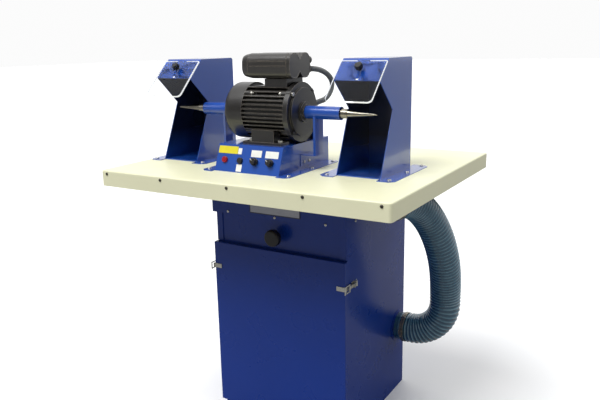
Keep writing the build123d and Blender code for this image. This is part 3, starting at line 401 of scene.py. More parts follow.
def printed(name, colour, border):
    """Printed film label, blank, with a faint paper tooth and slightly dirty edges."""
    s = Shader(name)
    base = s.mix(s.remap(s.noise(90, 4), 0.3, 0.7), shade(colour, 0.95), colour)
    s.set(Base_Color=s.mix(s.edges(border), base, shade(colour, 0.55)))
    s.set(Roughness=s.remap(s.noise(300, 3), 0.3, 0.7, 0.35, 0.5), Coat_Weight=0.2)
    s.bump(s.noise(1500, 2), 0.1, 0.0001)
    return s.material


def wound_core():
    """Stator: stacked laminations in the middle, varnished copper windings at both ends."""
    s = Shader("wound_core")
    low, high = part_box("stator")
    end = 0.020
    inner = s.math("MULTIPLY", s.math("GREATER_THAN", s.axis("X"), low.x + end),
                   s.math("LESS_THAN", s.axis("X"), high.x - end))
    stack = s.mix(s.bands(0.0005), srgb(84, 86, 92), srgb(142, 144, 150))
    wires = s.noise(240, 3, 0.5, stretch=(1, 7, 7))
    copper = s.mix(s.remap(wires, 0.3, 0.7), srgb(120, 52, 22), srgb(206, 116, 62))
    s.set(Base_Color=s.mix(inner, copper, stack), Metallic=0.85, Roughness=0.38)
    s.bump(wires, 0.5, 0.0006)
    return s.material


def laminated_steel():
    s = Shader("laminated_steel")
    stack = s.bands(0.0005)
    s.set(Base_Color=s.mix(stack, srgb(96, 98, 104), srgb(156, 158, 164)), Metallic=0.9)
    s.set(Roughness=s.remap(s.noise(80, 4), 0.3, 0.7, 0.32, 0.5))
    s.bump(stack, 0.3, 0.0001)
    return s.material


def drawn_aluminium():
    """Capacitor cans and the fan wheel: drawn metal with lengthwise lines."""
    s = Shader("drawn_aluminium")
    lines = s.noise(20, 5, 0.7, stretch=(1, 30, 30))
    s.set(Base_Color=s.mix(s.remap(lines, 0.3, 0.7), srgb(176, 178, 182), srgb(214, 216, 220)))
    s.set(Metallic=1.0, Roughness=s.remap(lines, 0.3, 0.7, 0.24, 0.4))
    s.bump(lines, 0.12, 0.0001)
    return s.material


def circuit_board():
    """Green solder mask over copper tracks."""
    s = Shader("circuit_board")
    tracks = s.cells(260, "Distance", feature="DISTANCE_TO_EDGE")
    base = s.mix(s.remap(tracks, 0.04, 0.09), srgb(74, 132, 70), srgb(24, 82, 46))
    s.set(Base_Color=base, Roughness=0.28, Coat_Weight=0.6)
    s.bump(tracks, 0.3, 0.0002)
    return s.material


def motor_bolt_finish():
    """Bright bolts on the feet and the front upper lugs; the others are coloured dark like the
    motor.
    """
    s = Shader("motor_bolt_finish")
    # bolts just below the spindle, and those above it at the back, are coloured dark
    under = s.math("MULTIPLY", s.math("GREATER_THAN", s.axis("Z"), SPINDLE.z - 0.065),
                   s.math("LESS_THAN", s.axis("Z"), SPINDLE.z))
    behind = s.math("MULTIPLY", s.math("GREATER_THAN", s.axis("Z"), SPINDLE.z),
                    s.math("GREATER_THAN", s.axis("Y"), SPINDLE.y))
    dark_bolt_mask = s.math("MAXIMUM", under, behind)
    scratches = s.noise(90, 5, 0.7, stretch=(1, 9, 3))
    bright = s.mix(s.remap(scratches, 0.3, 0.7), srgb(188, 186, 178), srgb(228, 226, 218))
    s.set(Base_Color=s.mix(dark_bolt_mask, bright, srgb(30, 28, 28)))
    s.set(Metallic=s.math("SUBTRACT", 1.0, dark_bolt_mask))
    s.set(Roughness=s.remap(scratches, 0.3, 0.7, 0.2, 0.4))
    s.bump(scratches, 0.2, 0.0001)
    return s.material


HOOD_BLUE = srgb(28, 76, 168)
CABINET_BLUE = srgb(14, 53, 142)
BLACK = srgb(26, 26, 28)

blue_paint = painted("blue_paint", HOOD_BLUE, 0.24)
# the hoods get painted shade on their insides
hood_paint = painted("hood_paint", HOOD_BLUE, 0.24, painted_inside_shade=True)
cabinet_paint = painted("cabinet_paint", CABINET_BLUE, 0.28, peel=0.02, coat=0.15, gloss=0.35)
cream = cream_enamel()
motor_paint = cast_black("motor_paint", srgb(30, 28, 27), 0.32)
housing_paint = cast_black("housing_paint", srgb(44, 42, 40), 0.3, grain=0.15)
black_plastic = moulded("black_plastic", BLACK)
red_plastic = moulded("red_plastic", srgb(150, 10, 30), 0.3)
steel = turned_steel()
zinc = plated("zinc", srgb(206, 204, 194))
fastener = plated("fastener", srgb(224, 222, 214), 0.22)
dark_steel = plated("dark_steel", srgb(92, 88, 80), 0.4)
band_steel = plated("band_steel", srgb(150, 144, 130), 0.34)
hose_skin = hose_plastic()
conduit_skin = conduit_plastic()
felt = filter_cloth()
white_film = printed("white_film", srgb(244, 244, 240), 0.0008)
yellow_film = printed("yellow_film", srgb(228, 214, 40), 0.0008)

# material and edge rounding (millimetres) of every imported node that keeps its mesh
NODE_LOOKS = {
    cabinet_paint: {"cabinet_shell": 0.6, "door_panel": 0.5, "top_rail": 0.6,
                    "header_panel": 0.4, "hose_spigots": 0.3},
    hood_paint: {"hood_left": 0.7, "hood_right": 0.7},
    blue_paint: {"floor_grilles": 0.4, "motor_base": 0.7, "guard_tubes": 0.8,
                 "switch_enclosure": 0.8},
    cream: {"table_skin": 0.5},
    motor_paint: {"motor_frame": 0.6, "end_shields": 0.8, "fan_cover": 0.4, "terminal_box": 1.0,
                  "fan_motor": 0.8},
    black_plastic: {"clamp_knob_left": 0.6, "clamp_knob_right": 0.6, "shaker_knob": 0.4,
                    "start_button": 0.4, "dial_left": 0.5, "dial_right": 0.5,
                    "cooling_fan": 0.3, "cable_glands": 0.5},
    red_plastic: {"stop_button": 0.4},
    steel: {"taper_left": 0.2, "taper_right": 0.2, "shaft": 0.3, "bearings": 0.3},
    zinc: {"latch_bases": 0.3, "latch_keepers": 0.3, "latch_lever_left": 0.3,
           "latch_lever_right": 0.3, "tube_sheet": 0.3, "dust_tray": 0.3,
           "fan_housing": 0.3},
    fastener: {"shield_studs": 0.3, "shaker_rod": 0.3},
    motor_bolt_finish(): {"motor_bolts": 0.5},
    clear_acrylic(): {"shield_left": 0.3, "shield_right": 0.3},
    brushed_plate(): {"name_plate": 0.2},
    white_film: {"panel_labels": 0.1},
    yellow_film: {"warning_label": 0.1},
    particle_board(): {"table_board": 0.0},
    wound_core(): {"stator": 0.4},
    laminated_steel(): {"rotor": 0.3},
    drawn_aluminium(): {"capacitors": 0.8, "fan_impeller": 0.3},
    circuit_board(): {"control_board": 0.2},
}


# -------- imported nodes
def softening_group():
    """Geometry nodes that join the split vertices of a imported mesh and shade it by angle."""
    group = bpy.data.node_groups.new("soften", "GeometryNodeTree")
    for direction in ("INPUT", "OUTPUT"):
        group.interface.new_socket("Geometry", in_out=direction,
                                   socket_type="NodeSocketGeometry")
    nodes, links = group.nodes, group.links
    merge = nodes.new("GeometryNodeMergeByDistance")
    merge.inputs["Distance"].default_value = 1e-6
    forget = nodes.new("GeometryNodeRemoveAttribute")
    forget.inputs["Name"].default_value = "custom_normal"
    smooth = nodes.new("GeometryNodeSetShadeSmooth")
    angle = nodes.new("GeometryNodeInputMeshEdgeAngle")
    wide = nodes.new("FunctionNodeCompare")
    wide.inputs[1].default_value = SHARP
    crease = nodes.new("GeometryNodeSetShadeSmooth")
    crease.domain = "EDGE"
    crease.inputs["Shade Smooth"].default_value = False
    chain = [nodes.new("NodeGroupInput"), merge, forget, smooth, crease,
             nodes.new("NodeGroupOutput")]
    for first, second in zip(chain, chain[1:]):
        links.new(first.outputs[0], second.inputs[0])
    links.new(angle.outputs["Unsigned Angle"], wide.inputs[0])
    links.new(wide.outputs["Result"], crease.inputs["Selection"])
    return group


soften = softening_group()


def round_edges(thing, width):
    """Shade by angle, join the triangles of flat faces, then bevel folds and corners."""
    thing.modifiers.new("soften", "NODES").node_group = soften
    flats = thing.modifiers.new("flats", "DECIMATE")
    flats.decimate_type = "DISSOLVE"
    flats.angle_limit = radians(0.3)
    bevel = thing.modifiers.new("edges", "BEVEL")
    bevel.width = width
    bevel.segments = 2
    bevel.limit_method = "ANGLE"
    bevel.angle_limit = SHARP
    bevel.harden_normals = True


def dress_nodes():
    """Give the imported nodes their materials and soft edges."""
    for material, nodes in NODE_LOOKS.items():
        for name, rounding in nodes.items():
            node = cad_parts[name]
            node.data.materials.clear()
            node.data.materials.append(material)
            if rounding:
                round_edges(node, rounding * MM)


# -------- mesh helpers
def mesh_object(name, vertices, faces, material=None):
    """A mesh object in the scene, with its normals outwards."""
    mesh = bpy.data.meshes.new(name)
    mesh.from_pydata([tuple(v) for v in vertices], [], [tuple(f) for f in faces])
    if material:
        mesh.materials.append(material)
    turned = bmesh.new()
    turned.from_mesh(mesh)
    bmesh.ops.recalc_face_normals(turned, faces=turned.faces)
    turned.to_mesh(mesh)
    turned.free()
    thing = bpy.data.objects.new(name, mesh)
    bpy.context.scene.collection.objects.link(thing)
    return thing


def piece(name, vertices, faces, material, body="root", stands_for=()):
    """A smooth-shaded piece that rides on a body."""
    thing = mesh_object(name, vertices, faces, material)
    thing.data.shade_smooth()
    thing.data.set_sharp_from_angle(angle=SHARP)
    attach(thing, body)
    if stands_for:
        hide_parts(*stands_for)
    return thing


class Shape:
    """Vertices and faces gathered from several simple bodies."""

    def __init__(self):
        self.vertices, self.faces = [], []

    def add(self, vertices, faces, place):
        start = len(self.vertices)
        self.vertices += [place @ Vector(v) for v in vertices]
        self.faces += [tuple(start + i for i in face) for face in faces]

    def prism(self, outline, low, high, place):
        """An outline in local X and Y, from low to high along local Z."""
        count = len(outline)
        vertices = [(x, y, z) for z in (low, high) for x, y in outline]
        faces = [(k, (k + 1) % count, count + (k + 1) % count, count + k) for k in range(count)]
        faces += [tuple(range(count))[::-1], tuple(range(count, 2 * count))]
        self.add(vertices, faces, place)

    def lathe(self, profile, place, count):
        """A (radius, z) profile that starts and ends on local Z, turned round it."""
        rings = profile[1:-1]
        vertices = [(r * cos(k * tau / count), r * sin(k * tau / count), z)
                    for r, z in rings for k in range(count)]
        first, last = len(vertices), len(vertices) + 1
        vertices += [(0, 0, profile[0][1]), (0, 0, profile[-1][1])]
        faces = []
        for k in range(count):
            m = (k + 1) % count
            for i in range(len(rings) - 1):
                a, b = i * count, (i + 1) * count
                faces.append((a + k, a + m, b + m, b + k))
            end = (len(rings) - 1) * count
            faces += [(first, m, k), (last, end + k, end + m)]
        self.add(vertices, faces, place)


def cut_away(body, cutter):
    """Vertices and faces of one shape less another."""
    kept = mesh_object("body", body.vertices, body.faces)
    taken = mesh_object("cutter", cutter.vertices, cutter.faces)
    cut = kept.modifiers.new("cut", "BOOLEAN")
    cut.operation, cut.solver, cut.use_self = "DIFFERENCE", "EXACT", True
    cut.object = taken
    shown = kept.evaluated_get(bpy.context.evaluated_depsgraph_get()).to_mesh()
    vertices = [v.co.copy() for v in shown.vertices]
    faces = [tuple(p.vertices) for p in shown.polygons]
    bpy.data.objects.remove(kept)
    bpy.data.objects.remove(taken)
    return vertices, faces


def torus_faces(rows, columns):
    """Quads of a grid that closes in both directions."""
    faces = []
    for i in range(rows):
        for j in range(columns):
            a, b = i * columns, (i + 1) % rows * columns
            k = (j + 1) % columns
            faces.append((a + j, a + k, b + k, b + j))
    return faces


def smooth_path(points, start, end, per_span=60):
    """Twice-smooth curve through points, with the derivative given at both ends."""
    p = np.array(points, float)
    count = len(p)
    h = np.linalg.norm(np.diff(p, axis=0), axis=1)
    rows, sums = np.eye(count), np.zeros((count, 3))
    sums[0], sums[-1] = start, end
    for i in range(1, count - 1):
        rows[i, i - 1:i + 2] = h[i], 2 * (h[i - 1] + h[i]), h[i - 1]
        sums[i] = 3 * (h[i] * (p[i] - p[i - 1]) / h[i - 1] + h[i - 1] * (p[i + 1] - p[i]) / h[i])
    slopes = np.linalg.solve(rows, sums)
    curve = []
    for i in range(count - 1):
        for t in np.linspace(0, 1, per_span, endpoint=i == count - 2):
            curve.append((2 * t**3 - 3 * t**2 + 1) * p[i] + (t**3 - 2 * t**2 + t) * h[i] * slopes[i]
                         + (3 * t**2 - 2 * t**3) * p[i + 1] + (t**3 - t**2) * h[i] * slopes[i + 1])
    return curve


def even_steps(points, step):
    """The same line with points at equal distances along it, and those distances."""
    points = np.array(points)
    far = np.concatenate([[0], np.cumsum(np.linalg.norm(np.diff(points, axis=0), axis=1))])
    along = np.linspace(0, far[-1], int(far[-1] / step) + 1)
    return np.stack([np.interp(along, far, points[:, k]) for k in range(3)], axis=1), along


def ring_grid(points, radii):
    """Rings of vertices round a line, carried along without twist."""
    tangents = np.gradient(points, axis=0)
    tangents /= np.linalg.norm(tangents, axis=1)[:, None]
    normal = np.cross(tangents[0], (0.3, 0.5, 0.8))
    normals = []
    for tangent in tangents:
        normal = normal - normal.dot(tangent) * tangent
        normal /= np.linalg.norm(normal)
        normals.append(normal)
    normals = np.array(normals)
    sides = np.cross(tangents, normals)
    angles = np.arange(radii.shape[1]) * tau / radii.shape[1]
    ring = (np.cos(angles)[None, :, None] * normals[:, None, :]
            + np.sin(angles)[None, :, None] * sides[:, None, :])
    return points[:, None, :] + radii[:, :, None] * ring


def ribbed_tube(name, points, along, material, slot, stands_for, *, outer_r, depth, wall, pitch,
                columns, plain):
    """Hose with a spiral rib, depth high; plain is the smooth length at each end."""
    turn = np.arange(columns) / columns
    phase = (along[:, None] / pitch - turn[None, :]) % 1.0
    rib = np.exp(-((phase - 0.5) / 0.17) ** 2)
    ends = np.clip(np.minimum(along, along[-1] - along) / plain - 1, 0, 1)[:, None]
    rib = rib * ends
    outer = outer_r - depth + depth * rib
    outer_rings = ring_grid(points, outer)
    inner_rings = ring_grid(points, np.full_like(outer, outer_r - depth - wall))
    grid = np.concatenate([outer_rings, inner_rings[::-1]])
    hose = piece(name, grid.reshape(-1, 3), torus_faces(len(grid), columns), material,
                 stands_for=stands_for)
    shares = np.concatenate([rib, rib[::-1]]).reshape(-1).astype(np.float32)
    hose.data.attributes.new("rib", "FLOAT", "POINT").data.foreach_set("value", shares)
    return hose


# -------- hoses and clamps
def elbow_frame(side):
    """Centre and direction of the elbow's outlet under a hood."""
    direction = np.array((side * sin(ELBOW_ANGLE), cos(ELBOW_ANGLE), 0.0))
    corner = np.array((side * HOOD_X, DUCT_Y, TABLE_TOP - ELBOW_DROP - ELBOW_R))
    return corner + direction * ELBOW_R, direction


def hose_line(side):
    """Centre line from the elbow, out and back down to the cabinet's side inlet."""
    corner, direction = elbow_frame(side)
    outlet = corner + direction * ELBOW_OUTLET
    reach = CAB_SIDE + 0.054
    turn = (side * (reach + HOSE_BEND), INLET_Y, INLET_Z + HOSE_BEND)
    middle = [(side * x, SPINDLE.y + y, TABLE_TOP + z)
              for x, y, z in ((0.383, 0.255, -0.150), (0.424, 0.366, -0.340))]
    line = [corner + direction * 0.004]
    line += smooth_path([outlet, *middle, turn], direction, (0, 0, -1))
    for angle in np.linspace(0, pi / 2, 40)[1:]:
        x = reach + HOSE_BEND * cos(angle)
        line.append(np.array((side * x, INLET_Y, INLET_Z + HOSE_BEND * (1 - sin(angle)))))
    line.append(np.array((side * (CAB_SIDE + 0.006), INLET_Y, INLET_Z)))
    return even_steps(line, HOSE_RIBS["pitch"] / 8)


def make_hoses():
    """The two hoses from the hoods' elbows to the cabinet."""
    for name, side in (("left", -1), ("right", 1)):
        points, along = hose_line(side)
        ribbed_tube(f"flex_hose_{name}", points, along, hose_skin, "hose_teal",
                    [f"hose_{name}"], **HOSE_RIBS)


def make_conduit():
    """Conduit from the gland behind the capacitor housing down to the switch enclosure."""
    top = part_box("switch_enclosure")[1].z
    x, start_y, start_z = 0.092, SPINDLE.y + 0.068, TABLE_TOP + 0.286
    middle = [(x, SPINDLE.y + y, TABLE_TOP + z) for x, y, z in
              ((0.101, 0.130, 0.280), (0.104, 0.198, 0.230), (0.098, 0.160, 0.190),
               (0.086, 0.112, 0.170))]
    end = (0.085, SPINDLE.y + 0.107, top + 0.002)
    line = smooth_path([(x, start_y, start_z), *middle, end], (0, 1, 0), (0, 0, -0.5))
    points, along = even_steps(line, CONDUIT_RIBS["pitch"] / 6)
    ribbed_tube("ribbed_conduit", points, along, conduit_skin, "conduit_grey", ["conduit"],
                **CONDUIT_RIBS)


def clamp_band(shape, place):
    """Slotted worm-drive band with rounded edges, round local Z."""
    count, half, slot_half = 144, 0.006, 0.0035
    inner = DUCT_R + 0.0032
    outer = inner + 0.0013
    section = [(inner, -half), (inner + 0.0007, -half - 0.0003), (outer, -half + 0.0008),
               (outer, -slot_half), (outer, slot_half), (outer, half - 0.0008),
               (inner + 0.0007, half + 0.0003), (inner, half)]
    vertices = []
    for k in range(count):
        for j, (radius, z) in enumerate(section):
            slot = 0.0006 if j in (3, 4) and k % 4 < 2 else 0.0
            angle = k * tau / count
            vertices.append((cos(angle) * (radius - slot), sin(angle) * (radius - slot), z))
    shape.add(vertices, torus_faces(count, len(section)), place)


def worm_clamp(shape, place):
    """Band, saddle and tangent worm screw of a hose clamp round local Z."""
    clamp_band(shape, place)
    top = -(DUCT_R + 0.0045)
    saddle = [(-0.008, top + 0.0015), (-0.0085, top - 0.003), (-0.006, top - 0.0085),
              (-0.003, top - 0.010), (0.003, top - 0.010), (0.006, top - 0.0085),
              (0.0085, top - 0.003), (0.008, top + 0.0015)]
    shape.prism(saddle, -0.0055, 0.0055, place)
    screw = place @ Matrix.Translation((0, top - 0.0045, 0)) @ Matrix.Rotation(pi / 2, 4, "Y")
    thread = [(0, -0.011), (0.0028, -0.011)]
    for k in range(8):
        z = -0.0105 + 0.0024 * k
        thread += [(0.0036, z + 0.0008), (0.0030, z + 0.0020)]
    thread += [(0.0030, 0.0095), (0, 0.0095)]
    shape.lathe(thread, screw, 16)
    head = [(0, 0.0095), (0.0038, 0.0095), (0.0044, 0.0102), (0.0044, 0.0138), (0.0036, 0.0148),
            (0, 0.0148)]
    shape.lathe(head, screw, 6)


def make_clamps():
    """A worm clamp on each elbow and on each inlet of the cabinet."""
    shape = Shape()
    for side in (-1, 1):
        outlet, direction = elbow_frame(side)
        across = Vector((direction[1], -direction[0], 0))
        axis = Vector(direction)
        centre = Vector(outlet + direction * 0.014)
        up = axis.cross(across)
        turn = Matrix((across, up, axis)).transposed().to_4x4()
        worm_clamp(shape, Matrix.Translation(centre) @ turn)
        centre = Vector((side * (CAB_SIDE + 0.034), INLET_Y, INLET_Z))
        worm_clamp(shape, Matrix.Translation(centre) @ Matrix.Rotation(pi / 2, 4, "Y"))
    piece("worm_clamps", shape.vertices, shape.faces, band_steel,
          stands_for=["hose_clamps"])


# -------- screws
HEAD_TALL, SHANK_LONG = 0.6, 6.0      # of a screw whose head has radius 1
SCREW_FINISH = {"mounting_screws": fastener, "header_screws": fastener,
                "fascia_screws": dark_steel}


def islands(node):
    """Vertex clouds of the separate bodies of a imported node, as arrays, left to right."""
    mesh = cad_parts[node].data
    places = [tuple(round(value, 6) for value in v.co) for v in mesh.vertices]
    parent = {place: place for place in places}

    def root(place):
        while parent[place] != place:
            parent[place] = parent[parent[place]]
            place = parent[place]
        return place

    for edge in mesh.edges:
        parent[root(places[edge.vertices[0]])] = root(places[edge.vertices[1]])
    clouds = {}
    for place in sorted(parent):
        clouds.setdefault(root(place), []).append(place)
    return [np.array(clouds[key]) for key in sorted(clouds)]


def cross_recess_screw():
    """Pan head of radius 1 standing on z = 0 with a cross recess, on its shank."""
    body = Shape()
    body.lathe([(0, -SHANK_LONG), (0.30, -SHANK_LONG), (0.42, 0.4 - SHANK_LONG), (0.42, 0),
                (0.98, 0), (1, 0.05), (0.99, 0.2), (0.93, 0.36), (0.78, 0.48), (0.55, 0.56),
                (0.28, HEAD_TALL), (0, HEAD_TALL)], Matrix(), 32)
    cutter = Shape()
    for turn in (0, pi / 2):
        arm = [(-0.58, 0.7), (0.58, 0.7), (0.34, 0.2), (-0.34, 0.2)]
        place = Matrix.Rotation(turn, 4, "Z") @ Matrix.Rotation(pi / 2, 4, "X")
        cutter.prism(arm, -0.1, 0.1, place)
    return cut_away(body, cutter)


def screw_place(cloud):
    """Seat, outward direction, head radius and shank length of a packed screw."""
    low, high = cloud.min(0), cloud.max(0)
    axis = int(np.argmax(high - low))
    middle = (low + high) / 2
    off = np.linalg.norm(np.delete(cloud - middle, axis, axis=1), axis=1)
    radius = off.max()
    head = cloud[off > 0.95 * radius][:, axis].mean()
    out, seat = np.zeros(3), middle.copy()
    if head > middle[axis]:
        out[axis], seat[axis] = 1, high[axis] - HEAD_TALL * radius
    else:
        out[axis], seat[axis] = -1, low[axis] + HEAD_TALL * radius
    return seat, out, radius, (high - low)[axis] - HEAD_TALL * radius


def make_screws():
    """Cross-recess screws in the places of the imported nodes' plain ones."""
    vertices, faces = cross_recess_screw()
    for node, material in SCREW_FINISH.items():
        shape = Shape()
        for number, cloud in enumerate(islands(node)):
            seat, out, radius, length = screw_place(cloud)
            turn = Vector((0, 0, 1)).rotation_difference(Vector(out)).to_matrix().to_4x4()
            spin = Matrix.Rotation(radians(37 * number), 4, "Z")
            size = Matrix.Diagonal((radius, radius, radius, 1))
            shank = length / (SHANK_LONG * radius)
            placed = [(v.x, v.y, v.z * shank if v.z < 0 else v.z) for v in vertices]
            shape.add(placed, faces, Matrix.Translation(seat) @ turn @ spin @ size)
        piece(f"{node}_cross", shape.vertices, shape.faces, material,
              stands_for=[node])


# -------- controls
PANEL_FOOT_Y, PANEL_RISE = SPINDLE.y - 0.134, Vector((0, 0.029, 0.077)).normalized()
DIAL_X, DIAL_UP, DIAL_TURN = {"left": 0.025, "right": 0.078}, 0.035, radians(50)
DIAL_TOP = 0.0168            # pointer ridge over the sloping panel


def make_dial_marks():
    """White line along each dial's pointer ridge."""
    right = Vector((1, 0, 0))
    basis = Matrix((right, PANEL_RISE, right.cross(PANEL_RISE))).transposed().to_4x4()
    line = [(-0.0005, 0.002), (0.0005, 0.002), (0.0006, 0.0022), (0.0006, 0.0096),
            (0.0004, 0.0099), (-0.0004, 0.0099), (-0.0006, 0.0096), (-0.0006, 0.0022)]
    for name, x in DIAL_X.items():
        centre = Vector((x, PANEL_FOOT_Y, TABLE_TOP)) + PANEL_RISE * DIAL_UP
        place = Matrix.Translation(centre) @ basis @ Matrix.Rotation(DIAL_TURN, 4, "Z")
        shape = Shape()
        shape.prism(line, DIAL_TOP, DIAL_TOP + 0.00045, place)
        piece(f"dial_mark_{name}", shape.vertices, shape.faces, white_film,
              body=f"dial_{name}")


# -------- capacitor housing
LOBE_HALF_W, LOBE_HALF_H, LOBE_APART, NOTCH = 0.030, 0.036, 0.0285, 0.018
LOBE_POWER = 2.5             # superellipse: 2 is an ellipse, more is squarer
NOSE_LONG = 0.026


def lobe_point(degrees, shrink):
    """Point of a lobe's rounded section, as (outward, up) from the lobe's centre."""
    out, up = cos(radians(degrees)), sin(radians(degrees))
    out = abs(out) ** (2 / LOBE_POWER) * (1 if out > 0 else -1)
    up = abs(up) ** (2 / LOBE_POWER) * (1 if up > 0 else -1)
    return out * (LOBE_HALF_W - shrink), up * (LOBE_HALF_H - shrink)


def twin_outline(shrink):
    """Section through both lobes, with a V notch above and below between them."""
    front = [lobe_point(112 - 4 * step, shrink) for step in range(57)]
    outline = [(-LOBE_APART - out, up) for out, up in front]
    outline.append((0, -NOTCH + shrink))
    outline += [(LOBE_APART + out, up) for out, up in reversed(front)]
    outline.append((0, NOTCH - shrink))
    return outline


def loft(shape, sections, place):
    """Closed body through outlines of equal length, each given as (z, outline)."""
    count = len(sections[0][1])
    vertices = [(x, y, z) for z, outline in sections for x, y in outline]
    last = (len(sections) - 1) * count
    faces = [tuple(range(count))[::-1], tuple(range(last, last + count))]
    for start in range(0, last, count):
        for k in range(count):
            m = (k + 1) % count
            faces.append((start + k, start + m, start + count + m, start + count + k))
    shape.add(vertices, faces, place)


def make_capacitor_housing():
    """Twin housing: two rounded lobes, tapered noses, end cover with a rim, grooved sides."""
    low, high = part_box("capacitor_box")
    along = Matrix(((0, 0, 1), (1, 0, 0), (0, 1, 0))).to_4x4()
    place = Matrix.Translation((0, (low.y + high.y) / 2, (low.z + high.z) / 2)) @ along
    nose, cover = low.x + NOSE_LONG, high.x - 0.012
    body = Shape()
    steps = ((nose, 0.0), (cover - 0.0004, 0.0), (cover, 0.0012), (cover + 0.0008, 0.0012),
             (cover + 0.0012, 0.0), (high.x - 0.0008, 0.0), (high.x, 0.0008),
             (high.x, 0.0030), (high.x - 0.0008, 0.0036))
    loft(body, [(x, twin_outline(shrink)) for x, shrink in steps], place)
    steps = ((-0.001, 0.0002), (0.0015, 0.0002), (0.002, 0.0010), (0.011, 0.0020),
             (0.019, 0.0038), (0.0238, 0.0058), (0.0256, 0.0080), (NOSE_LONG, 0.0110))
    for side in (-1, 1):
        sections = []
        for depth, shrink in steps:
            ring = [lobe_point(360 - 6 * step, shrink) for step in range(60)]
            sections.append((nose - depth, [(side * LOBE_APART + y, z) for y, z in ring]))
        loft(body, sections, place)
    grooves = Shape()
    outer = LOBE_APART + LOBE_HALF_W
    for side in (-1, 1):
        for bottom, top in ((0.0125, 0.0155), (-0.0010, 0.0010)):
            groove = [(side * (outer - 0.0022), bottom), (side * (outer + 0.01), bottom),
                      (side * (outer + 0.01), top), (side * (outer - 0.0022), top)]
            grooves.prism(groove, nose + 0.006, cover - 0.004, place)
    vertices, faces = cut_away(body, grooves)
    housing = piece("capacitor_housing", vertices, faces, housing_paint,
                    stands_for=["capacitor_box"])
    round_edges(housing, 0.0005)


# -------- filter bags
BAG_SEAMS = (-1.0, -1 / 3, 1 / 3, 1.0)    # sewn spacer seams, as shares of the half depth
BAG_ROWS, BAG_SIDE = 34, 42               # grid of a bag: rows, and columns of one side
BAG_COLUMNS = 2 * BAG_SIDE
BAG_PRESSURE, BAG_FRAMES, BAG_MOVE = 3.0, 16, 0.007


def bag_grid(low, high):
    """One flat envelope bag: rings from its open foot to its sewn top, narrow at the seams."""
    middle, half = (low + high) / 2, (high - low) / 2
    depth, width = half[1] - 0.004, half[0] - 0.009
    ys = np.linspace(-1, 1, BAG_SIDE)
    share = np.min([np.abs(ys - seam) for seam in BAG_SEAMS], axis=0)
    narrow = 0.45 + 0.55 * np.clip(share / 0.10, 0, 1) ** 0.6
    ring = [(x, y) for x, y in zip(width * narrow, ys * depth)]
    ring += [(-x, y) for x, y in zip(width * narrow[::-1], ys[::-1] * depth)]
    vertices = []
    for z in np.linspace(low[2], high[2] - 0.003, BAG_ROWS):
        close = np.clip((high[2] - z) / 0.030, 0.06, 1) ** 0.5
        vertices += [(middle[0] + x * close, middle[1] + y, z) for x, y in ring]
    return vertices


def bag_faces(start):
    """Quads of a bag's grid, which closes round its columns, and a lid over the last row."""
    faces = []
    for i in range(BAG_ROWS - 1):
        for j in range(BAG_COLUMNS):
            k = (j + 1) % BAG_COLUMNS
            a, b = start + i * BAG_COLUMNS, start + (i + 1) * BAG_COLUMNS
            faces.append((a + j, a + k, b + k, b + j))
    last = start + (BAG_ROWS - 1) * BAG_COLUMNS
    far = last + BAG_COLUMNS
    for j in range(BAG_SIDE - 1):
        faces.append((last + j, last + j + 1, far - 2 - j, far - 1 - j))
    return faces


def inflate(thing, pinned):
    """Blow a bag up with Cloth, hold the pinned vertices, and keep the capped result."""
    scene = bpy.context.scene
    thing.vertex_groups.new(name="pinned").add(pinned, 1.0, "REPLACE")
    cloth = thing.modifiers.new("cloth", "CLOTH")
    cloth.settings.quality = 5
    cloth.settings.mass = 0.2
    cloth.settings.use_pressure = True
    cloth.settings.uniform_pressure_force = BAG_PRESSURE
    cloth.settings.vertex_group_mass = "pinned"
    cloth.settings.effector_weights.gravity = 0
    cloth.point_cache.frame_start, cloth.point_cache.frame_end = 1, BAG_FRAMES
    for number in range(1, BAG_FRAMES + 1):
        scene.frame_set(number)
    shown = thing.evaluated_get(bpy.context.evaluated_depsgraph_get()).to_mesh()
    rest = np.array([v.co for v in thing.data.vertices])
    moved = np.array([v.co for v in shown.vertices])
    move = moved - rest
    length = np.linalg.norm(move, axis=1)[:, None]
    move *= np.minimum(1, BAG_MOVE / np.maximum(length, 1e-9))
    thing.modifiers.remove(cloth)
    thing.data.vertices.foreach_set("co", (rest + move).astype(np.float32).ravel())
    scene.frame_set(1)


def bag_clouds():
    """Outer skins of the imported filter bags."""
    clouds = islands("filter_bags")
    widest = max(np.ptp(cloud[:, 1]) for cloud in clouds)
    return [cloud for cloud in clouds if np.ptp(cloud[:, 1]) > widest - 0.001]


def pinned_points(start):
    """Vertices of a bag along its foot, its top and its seams."""
    seam_columns = [round((seam + 1) / 2 * (BAG_SIDE - 1)) for seam in BAG_SEAMS]
    pinned = []
    for i in range(BAG_ROWS):
        for j in range(BAG_COLUMNS):
            across = min(j, BAG_COLUMNS - 1 - j)
            if i in (0, BAG_ROWS - 1) or across in seam_columns:
                pinned.append(start + i * BAG_COLUMNS + j)
    return pinned


def make_filter_bags():
    """Three flat felt bags on the tube sheet."""
    vertices, faces, pinned = [], [], []
    for cloud in bag_clouds():
        start = len(vertices)
        vertices += bag_grid(cloud.min(0), cloud.max(0))
        faces += bag_faces(start)
        pinned += pinned_points(start)
    bags = piece("filter_bag_cloth", vertices, faces, felt,
                 stands_for=["filter_bags"])
    inflate(bags, pinned)
    shell = bags.modifiers.new("cloth_thickness", "SOLIDIFY")
    shell.thickness = 0.0015
    shell.offset = -1
    finer = bags.modifiers.new("finer", "SUBSURF")
    finer.levels = finer.render_levels = 1


